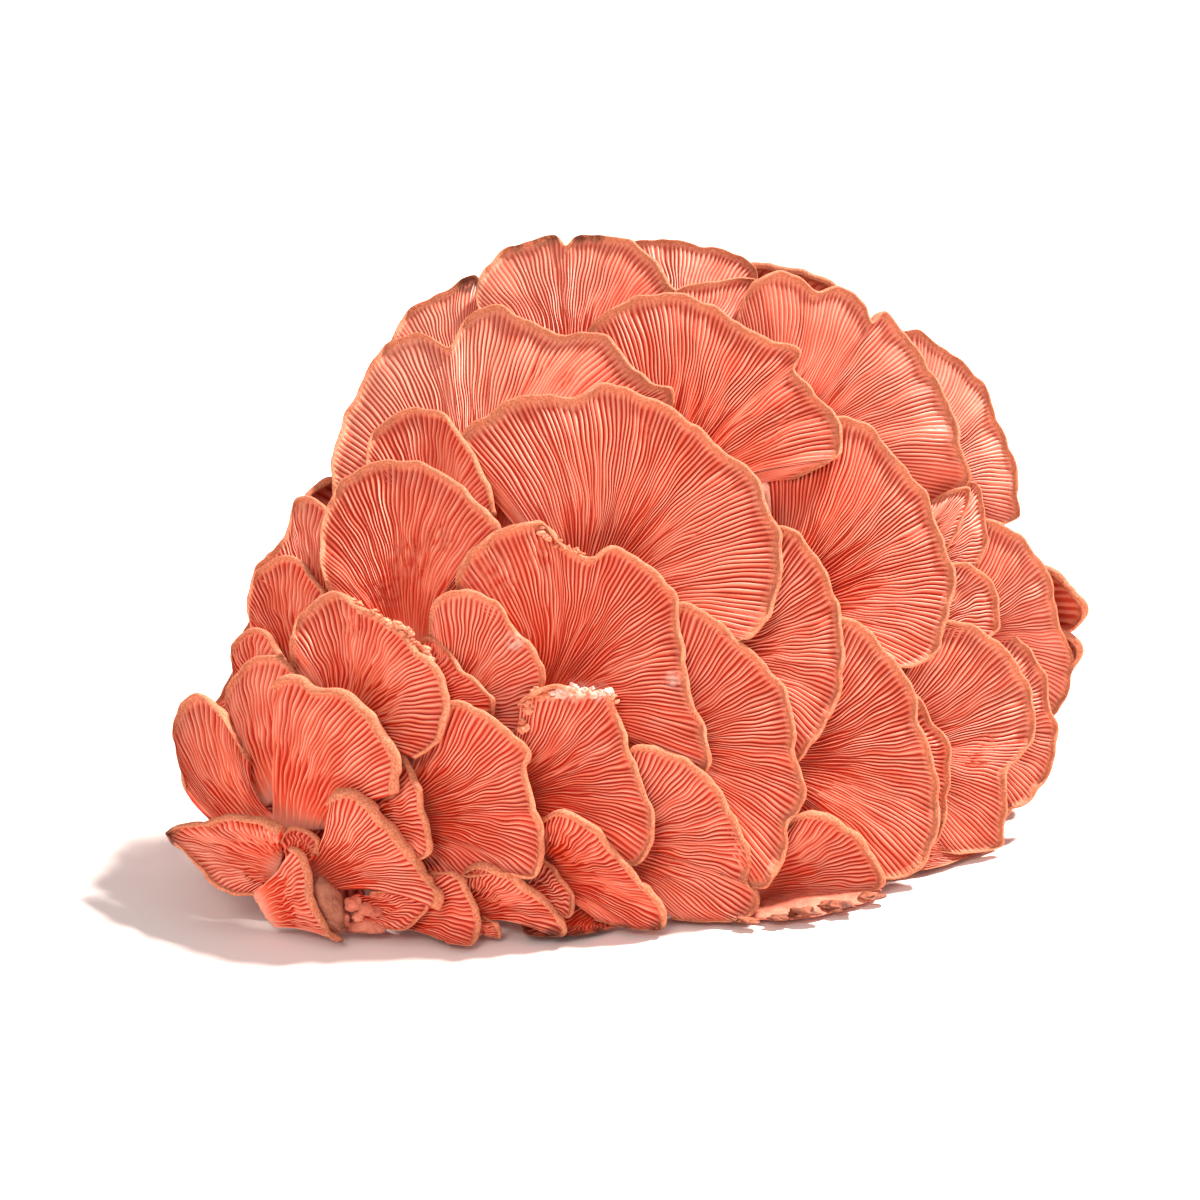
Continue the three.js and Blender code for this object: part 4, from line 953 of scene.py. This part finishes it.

# %% [markdown]
# ## The flesh of a cap
#
# Fresh gills are a warm salmon on their crests, with a painted highlight on the crests' tops. Down in
# the furrows they are painted a deep orange red, which is painted shade and the painted glow of light
# bounced from one pink wall to the next. The gills stay redder near the stalk. The rim is a tan,
# slightly grainy roll, and a thin dark line of painted shadow, the rim's shadow on the gills, runs just
# inside it. The upper side is paler and velvety. All of that is one finish that reads the numbers
# painted on each cap's points.

# %% Cap finish
# FURROW_SHADE and FURROW_SHADE_HAZY are painted shade: the furrows' dark deep red stands in for the shade and
# the bounced light down between the gills.
FURROW_SHADE = (0.60, 0.022, 0.003)
FURROW_SHADE_HAZY = (0.68, 0.12, 0.06)
CREST_STALK = (0.92, 0.36, 0.25)
CREST_NEAR = (0.94, 0.175, 0.08)
CREST_FAR = (0.95, 0.225, 0.13)
# CREST_HAZY and FURROW_SHADE_HAZY are paler colours painted on the caps furthest back, as painted haze.
CREST_HAZY = (0.94, 0.33, 0.235)
# CREST_HIGHLIGHT is a painted highlight: the paler colour on the crests' tops stands in for the glossy light
# on them.
CREST_HIGHLIGHT = (0.97, 0.44, 0.32)
# PAINTED_RIM_SHADOW is painted shadow: the dark line just inside the rim is the rim's shadow on the gills,
# painted in.
PAINTED_RIM_SHADOW = (0.45, 0.07, 0.035)  # the dark line just inside the rim
RIM = (0.60, 0.17, 0.08)
RIM_DARK = (0.40, 0.10, 0.05)
RIM_LIGHT = (0.80, 0.34, 0.21)
VELVET = (0.45, 0.145, 0.10)
VELVET_PALE = (0.55, 0.24, 0.18)
VELVET_DARK = (0.40, 0.105, 0.065)
BROWN = (0.10, 0.025, 0.012)
TORN = (0.96, 0.66, 0.55)
CRUMB = (0.95, 0.40, 0.26)
GRAIN = 1700    # grains to the metre on the rim
FUZZ = 900      # on the upper side


def cap_finish(name, haze_share):
    """Gills, rim and upper side in one finish, which shows haze_share of the caps' painted haze."""
    material, shader, spot = new_finish(name, Specular_IOR_Level=0.36, IOR=1.42)
    ridge, reach, rim = painted(spot, "gill_map")
    upper, tone, haze = painted(spot, "cap_map")
    dried, pale, chipped = painted(spot, "mark_map")
    haze = haze * haze_share
    clouds = spot.noise(60, 3)
    specks = spot.noise(420, 3, 0.6)
    furrow = haze.mix(FURROW_SHADE, FURROW_SHADE_HAZY)
    inner = reach.between(0.02, 0.22).mix(CREST_STALK, CREST_NEAR)
    outer = reach.between(0.3, 0.85).mix(inner, CREST_FAR)
    crest = haze.mix(outer, CREST_HAZY)
    height = (ridge + (clouds - 0.5) * 0.35 + (tone - 0.5) * 0.2).clamped()
    # the colour follows each point's height on its gill: low points get the furrows' painted shade, high ones
    # the crest colour
    gills = height.between(0.15, 0.8).mix(furrow, crest)
    # painted highlight on the tops of the crests
    gills = (height.between(0.7, 0.92) * 0.66).mix(gills, CREST_HIGHLIGHT)
    # painted shadow of the rim: the gills darken just inside it
    shade = reach.between(0.86, 0.97) * (1 - rim) * 0.35
    gills = shade.mix(gills, PAINTED_RIM_SHADOW)
    grains = spot.noise(GRAIN, 4, 0.7)
    roll = grains.between(0.42, 0.7).mix(grains.between(0.25, 0.45).mix(RIM_DARK, RIM), RIM_LIGHT)
    fuzz = spot.noise(FUZZ, 4, 0.7)
    patches = spot.noise(35, 3, 0.6)
    velvet = patches.between(0.35, 0.65).mix(VELVET, VELVET_PALE)
    velvet = (fuzz.between(0.5, 0.75) * 0.5).mix(velvet, VELVET_PALE)
    velvet = (reach.between(0.55, 1.0) * 0.5).mix(velvet, VELVET_DARK)
    colour = rim.mix(gills, roll)
    colour = upper.between(0.35, 0.9).mix(colour, velvet)
    colour = (chipped * specks.between(0.4, 0.6) * 0.25).mix(colour, CRUMB)
    colour = (pale * specks.between(0.35, 0.6) * 0.6).mix(colour, TORN)
    colour = (dried * specks.between(0.2, 0.6) * 0.9).mix(colour, BROWN)
    colour = (specks.between(0.76, 0.8) * 0.7).mix(colour, BROWN)
    feed(shader, "Base Color", colour)
    feed(shader, "Roughness", (0.45 + 0.33 * rim + 0.22 * upper + (specks - 0.5) * 0.2).clamped())
    grainy = (rim + upper).clamped()
    relief = specks * (1 - grainy) * 0.4 + grains * rim * 0.8 + fuzz * upper * 0.7
    roughen(shader, relief, 0.5, 0.0006)
    return material


cap_gills = cap_finish("cap_gills", 1.0)
cap_velvet = cap_finish("cap_velvet", 0.5)
print("cap finish:", len(cap_gills.node_tree.nodes), "nodes")

# %% [markdown]
# ## Growing the caps
#
# Every fan now becomes an object. It takes the place of the plain solid of the same name, which
# stays in the physics model. The solids are trimmed clear of each other, and these meshes are not,
# so in places one cap runs into the next.

# %% Make the caps
triangles = 0
for seed, (name, fan) in enumerate(fans.items()):
    points, faces, maps = cap_mesh(fan, seed)
    rear = fan.get("rear", False)
    piece = mesh_object(name + "_fine", points, faces, cap_velvet if rear else cap_gills, maps)
    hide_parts(name)
    triangles += 2 * len(faces)
print("the caps hold about", triangles, "triangles")

# %% [markdown]
# ## The foot
#
# Behind the caps all stalks are one dense mass, cut flat where it left its block. It fills the space
# between the front and the rear faces, with shallow flutes where stalks run side by side.

# %% The foot as a surface
FOOT_MIDDLE = (10, 75)
FOOT_REACH = (82, 80, 74, 70, 70, 66, 74, 88, 80, 66, 70, 78)  # every 30 degrees, from the right
FOOT_SKIN = 11        # it stays this far behind both faces
FOOT_TURNS = 240
FOOT_RINGS = 64
FLUTES = ((1.5, 9, 0), (0.35, 41, 3))  # height, number round the foot, and twist from ring to ring


def foot_reach(turn):
    """The foot's reach in each direction, smooth between the measures."""
    reach = np.array(FOOT_REACH, float)
    place_in = turn / (2 * math.pi) * len(reach)
    i = np.floor(place_in).astype(int) % len(reach)
    t = smooth(0, 1, place_in - np.floor(place_in))
    return reach[i] * (1 - t) + reach[(i + 1) % len(reach)] * t


def foot_points():
    """Rings from the middle of the front, over the outline, to the middle of the back.

    A ring's share of the reach is the sine of its angle, and its depth is the middle of both faces
    plus half the room between them times the angle's cosine. What lies below the table is cut off."""
    angle = np.linspace(0, math.pi, FOOT_RINGS + 1)[:, None]
    turn = np.linspace(0, 2 * math.pi, FOOT_TURNS, endpoint=False)[None, :]
    ring = np.sin(angle)
    reach = foot_reach(turn) * ring
    across = FOOT_MIDDLE[0] + reach * np.cos(turn)
    up = FOOT_MIDDLE[1] + reach * np.sin(turn)
    front = front_depth(across, up) + FOOT_SKIN
    back = np.maximum(front + 2, back_depth(across, up) - FOOT_SKIN)
    flute = sum(high * ring * np.cos(number * turn + twist * angle) for high, number, twist in FLUTES)
    points = place(across, up, (front + back) / 2 - np.cos(angle) * (back - front) / 2 + flute)
    points[..., 2] = np.maximum(points[..., 2], 0)
    return points


def closed_blob(grid):
    """Points and faces of a closed skin from rings of points, where the first and last are poles."""
    inner = grid[1:-1]
    rings, turns = inner.shape[:2]
    around = np.arange(turns)
    following = (around + 1) % turns
    first, base = rings * turns, (rings - 1) * turns
    caps = np.concatenate([np.stack([around * 0 + first, around, following], 1),
                           np.stack([around * 0 + first + 1, base + following, base + around], 1)])
    points = np.concatenate([inner.reshape(-1, 3), grid[[0, -1], 0]])
    return points, ring_quads(rings, turns).tolist() + caps.tolist()


# %% Foot finish
FOOT_PALE = (0.80, 0.36, 0.27)
# FOOT_SHADED_PINK is the flesh's own pink, made darker as painted shade, so that the foot seen through the
# gaps between caps reads as shadow.
FOOT_SHADED_PINK = (0.66, 0.20, 0.13)
FOOT_TAN = (0.55, 0.30, 0.18)


def foot_finish():
    """Pale pink flesh with soft fibres and patches of a darker pink that is partly painted shade, tan and
    rough near the cut.
    """
    material, shader, spot = new_finish("foot_flesh", IOR=1.42)
    height = spot.node("ShaderNodeSeparateXYZ", {"Vector": spot}, output=2)
    fibres = spot.scaled(1, 1, 0.25).noise(500, 4, 0.6)
    patches = spot.noise(45, 3)
    flesh = (patches * 0.6 + fibres * 0.5).between(0.35, 0.75).mix(FOOT_SHADED_PINK, FOOT_PALE)
    near_cut = 1 - height.between(0.0, 0.012)
    feed(shader, "Base Color", (near_cut * (0.4 + 0.6 * fibres)).clamped().mix(flesh, FOOT_TAN))
    feed(shader, "Roughness", (0.6 + fibres * 0.25).clamped())
    roughen(shader, fibres, 0.6, 0.0008)
    return material


foot_flesh = foot_finish()
foot_grid, foot_faces = closed_blob(foot_points())
foot = mesh_object("foot_fine", foot_grid, foot_faces, foot_flesh)
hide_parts("foot_of_fused_stalks")
print("the foot has", len(foot_faces), "faces")

# %% [markdown]
# ## Scraps of flesh
#
# A real cluster isn't clean. Low on the right the trimmed base shows under the caps, with browned
# knobs where the knife went. A rough stem stands low on the left. One cap is torn along its top and
# another has crumbled. All of these are small knobbly lumps: an ellipsoid whose radius varies by a
# sum of sines of the direction.

# %% Lumps
LUMP_RINGS, LUMP_TURNS = 13, 20
OFF_LINE = 1.6          # scattered lumps lie in a band of this width


def lump(across, up, behind, radii, seed, rough=0.2, slant=0, turn_back=0):
    """A knobbly blob at a place on the front face, with its radii across, in depth and up.

    slant moves it across as it rises, and turn_back moves it deeper to the right, both by a share."""
    angle = np.linspace(0, np.pi, LUMP_RINGS)[:, None]
    turn = np.linspace(0, 2 * np.pi, LUMP_TURNS, endpoint=False)[None, :]
    wide, level = np.sin(angle), np.ones_like(turn)
    ways = np.stack([wide * np.cos(turn), -np.cos(angle) * level, wide * np.sin(turn)], -1)
    draw = np.random.default_rng(3000 + seed).random((7, 4))
    bumps = np.sin(ways @ (8 * draw[:, :3].T - 4) * 1.6 + 2 * np.pi * draw[:, 3]).mean(axis=-1)
    offset = ways * np.array(radii) * (1 + 2 * rough * bumps)[..., None]
    offset[..., 0] += slant * offset[..., 2]
    offset[..., 1] += turn_back * offset[..., 0]
    centre = place(across, up, front_depth(across, up) + behind)
    return closed_blob(rest(centre + offset))


def lumps_object(name, lumps, material):
    """One object of several lumps."""
    offsets = np.cumsum([0] + [len(points) for points, _ in lumps])
    faces = [[int(i + offset) for i in face]
             for (_, some), offset in zip(lumps, offsets) for face in some]
    piece = mesh_object(name, np.concatenate([points for points, _ in lumps]), faces, material)
    return piece


def scattered(line, count, seed, size, behind):
    """Lumps strewn along a line of places, of chance size and a chance step off the line."""
    draw = np.random.default_rng(5000 + seed).random((count, 4))
    marks = np.array(line, float)
    at = np.linspace(0, len(line) - 1, count)
    across, up = (np.interp(at, np.arange(len(line)), marks[:, i]) + OFF_LINE * (draw[:, i] - 0.5)
                  for i in (0, 1))
    radius = size * (0.5 + 0.7 * draw[:, 2])
    return [lump(across[i], up[i], behind, (radius[i], 0.8 * radius[i], 0.7 * radius[i]), seed + i, 0.45,
                 slant=draw[i, 3] - 0.5) for i in range(count)]


# %% The trimmed base, the stem and the scraps
def scrap_finish(name, low, high, spots_share):
    """Torn flesh between two colours, with brown spots."""
    material, shader, spot = new_finish(name, IOR=1.42)
    clouds = spot.noise(260, 4, 0.6)
    dots = spot.noise(650, 3, 0.6)
    flesh = clouds.between(0.35, 0.65).mix(low, high)
    feed(shader, "Base Color", (dots.between(0.56, 0.68) * spots_share).mix(flesh, BROWN))
    feed(shader, "Roughness", (0.5 + clouds * 0.4).clamped())
    roughen(shader, dots, 0.7, 0.0007)
    return material


base_flesh = scrap_finish("base_flesh", (0.58, 0.14, 0.085), (0.74, 0.25, 0.16), 0.35)
browned = scrap_finish("browned_flesh", (0.16, 0.035, 0.016), (0.42, 0.12, 0.06), 0.6)
stem_flesh = scrap_finish("stem_flesh", (0.30, 0.085, 0.05), (0.46, 0.17, 0.10), 0.3)
torn_white = scrap_finish("torn_white", (0.88, 0.40, 0.29), (0.95, 0.74, 0.64), 0.1)
torn_pink = scrap_finish("torn_pink", (0.72, 0.19, 0.09), (0.88, 0.36, 0.22), 0.2)

base = [lump(50, 10.5, 1, (17, 9, 4.2), 1, 0.1, turn_back=0.35),
        lump(63, 13, 0, (8, 6, 3.2), 2, 0.15, turn_back=0.35)]
lumps_object("trimmed_base", base, base_flesh)
knobs = [lump(50.5, 11.3, -9, (4, 2.6, 2.2), 11, 0.35), lump(59.5, 12.6, -8, (4.6, 2.4, 1.5), 12, 0.4),
         lump(67, 14.6, -6, (3.4, 2.2, 1.7), 13, 0.4), lump(44.5, 9.4, -8, (2.6, 1.8, 1.2), 14, 0.4),
         lump(37, 8.6, -6, (3, 1.6, 1.1), 15, 0.4)]
lumps_object("browned_knobs", knobs, browned)
stem = [lump(-67.4, 14, 3, (3.2, 3.4, 7), 21, 0.16, slant=-0.35),
        lump(-66, 9, 3.4, (2.5, 2.8, 3), 22, 0.3, slant=-0.3)]
lumps_object("rough_stem", stem, stem_flesh)
buds = [lump(-61.6, 14, 3, (2.2, 2, 1.9), 31), lump(-58.6, 12.6, 3, (2, 2, 1.7), 32),
        lump(-60.4, 10.8, 3, (1.6, 1.5, 1.3), 33), lump(-57.6, 8.2, 5, (5.6, 3, 2.7), 36),
        lump(-56, 12, 4, (2.2, 2, 1.4), 34), lump(-64.4, 9.8, 5, (2.4, 2, 2.8), 35)]
lumps_object("low_buds", buds, base_flesh)
NOTCH = [(-15, 107.6), (-11.5, 105), (-8.5, 102.6), (-4.5, 102)]
TORN_EDGE = [(-11, 66.5), (-7, 67.6), (-3, 67.2), (1.5, 66.8)]
lumps_object("torn_edge", scattered(TORN_EDGE, 13, 40, 1.5, -1.2), torn_white)
SCRAPS = [(-19, 58), (-18.5, 62), (-18, 65.5), (-14.5, 67), (-12, 66)]
scraps = scattered(SCRAPS, 15, 60, 1.5, 0.2) + scattered([(1.5, 66.5), (4, 65)], 4, 80, 1.2, -1)
lumps_object("torn_scraps", scraps, torn_pink)
CRUMBLED = [(-63.5, 90.8), (-59, 87.6), (-54, 85.2), (-50, 83), (-46, 79.2), (-42.5, 75.5)]
crumbs = scattered(CRUMBLED, 52, 90, 1.05, -1.8) + scattered(NOTCH, 16, 150, 0.9, -1.6)
lumps_object("crumbled_edge", crumbs, torn_pink)
print("the torn and crumbled edges hold", len(scraps) + len(crumbs), "scraps and crumbs")

# %% [markdown]
# ## Table and light
#
# The cluster lies on a plain white surface. The sun stands high to the right and behind, so that it
# grazes the gills and lays the shadow to the left and to the front. A weak lamp from the front left
# and a bright pale surround fill the furrows.

# %% Table
TABLE_HALF = 15.0   # so wide that its edge is never in view from the front
TABLE_WHITE = (0.97, 0.88, 0.86, 1)
table_mesh = bpy.data.meshes.new("table")
corners = [(x * TABLE_HALF, y * TABLE_HALF, 0) for x, y in ((-1, -1), (1, -1), (1, 1), (-1, 1))]
table_mesh.from_pydata(corners, [], [(0, 1, 2, 3)])
table = bpy.data.objects.new("table", table_mesh)
scene.collection.objects.link(table)
table_mesh.materials.append(new_finish("table_white", Roughness=0.9, Base_Color=TABLE_WHITE)[0])
print("the table is", 2 * TABLE_HALF, "metres wide")

# %% Lamps and surround
AIM = Vector((0, 0, 0.07))
SUN_FROM = Vector((0.47, 0.41, 0.80))
SUN_WIDTH = math.radians(6)   # a wide sun gives its shadows a soft edge
SUN_STRENGTH = 8.4
SUN_COLOUR = (1, 0.94, 0.86)
FILL_COLOUR = (1, 0.88, 0.80)
SURROUND = (1, 0.93, 0.92, 1)
SURROUND_STRENGTH = 0.51


def lamp(name, direction, distance, size, power, colour):
    """A square lamp at a distance in a direction from the cluster, turned to it."""
    data = bpy.data.lights.new(name, "AREA")
    data.size = size
    data.energy = power
    data.color = colour
    made = bpy.data.objects.new(name, data)
    scene.collection.objects.link(made)
    made.location = AIM + Vector(direction).normalized() * distance
    made.rotation_euler = (AIM - made.location).to_track_quat("-Z", "Y").to_euler()
    return made


key = bpy.data.objects.new("key_lamp", bpy.data.lights.new("key_lamp", "SUN"))
key.data.energy = SUN_STRENGTH
key.data.angle = SUN_WIDTH
key.data.color = SUN_COLOUR
scene.collection.objects.link(key)
key.rotation_euler = (-SUN_FROM).to_track_quat("-Z", "Y").to_euler()
lamp("front_fill", (-0.3, -0.75, 0.6), distance=1.8, size=0.6, power=9, colour=FILL_COLOUR)
world = bpy.data.worlds.new("surround")
world.use_nodes = True
background = world.node_tree.nodes["Background"]
background.inputs["Color"].default_value = SURROUND
background.inputs["Strength"].default_value = SURROUND_STRENGTH
scene.world = world
scene.view_settings.view_transform = "Standard"
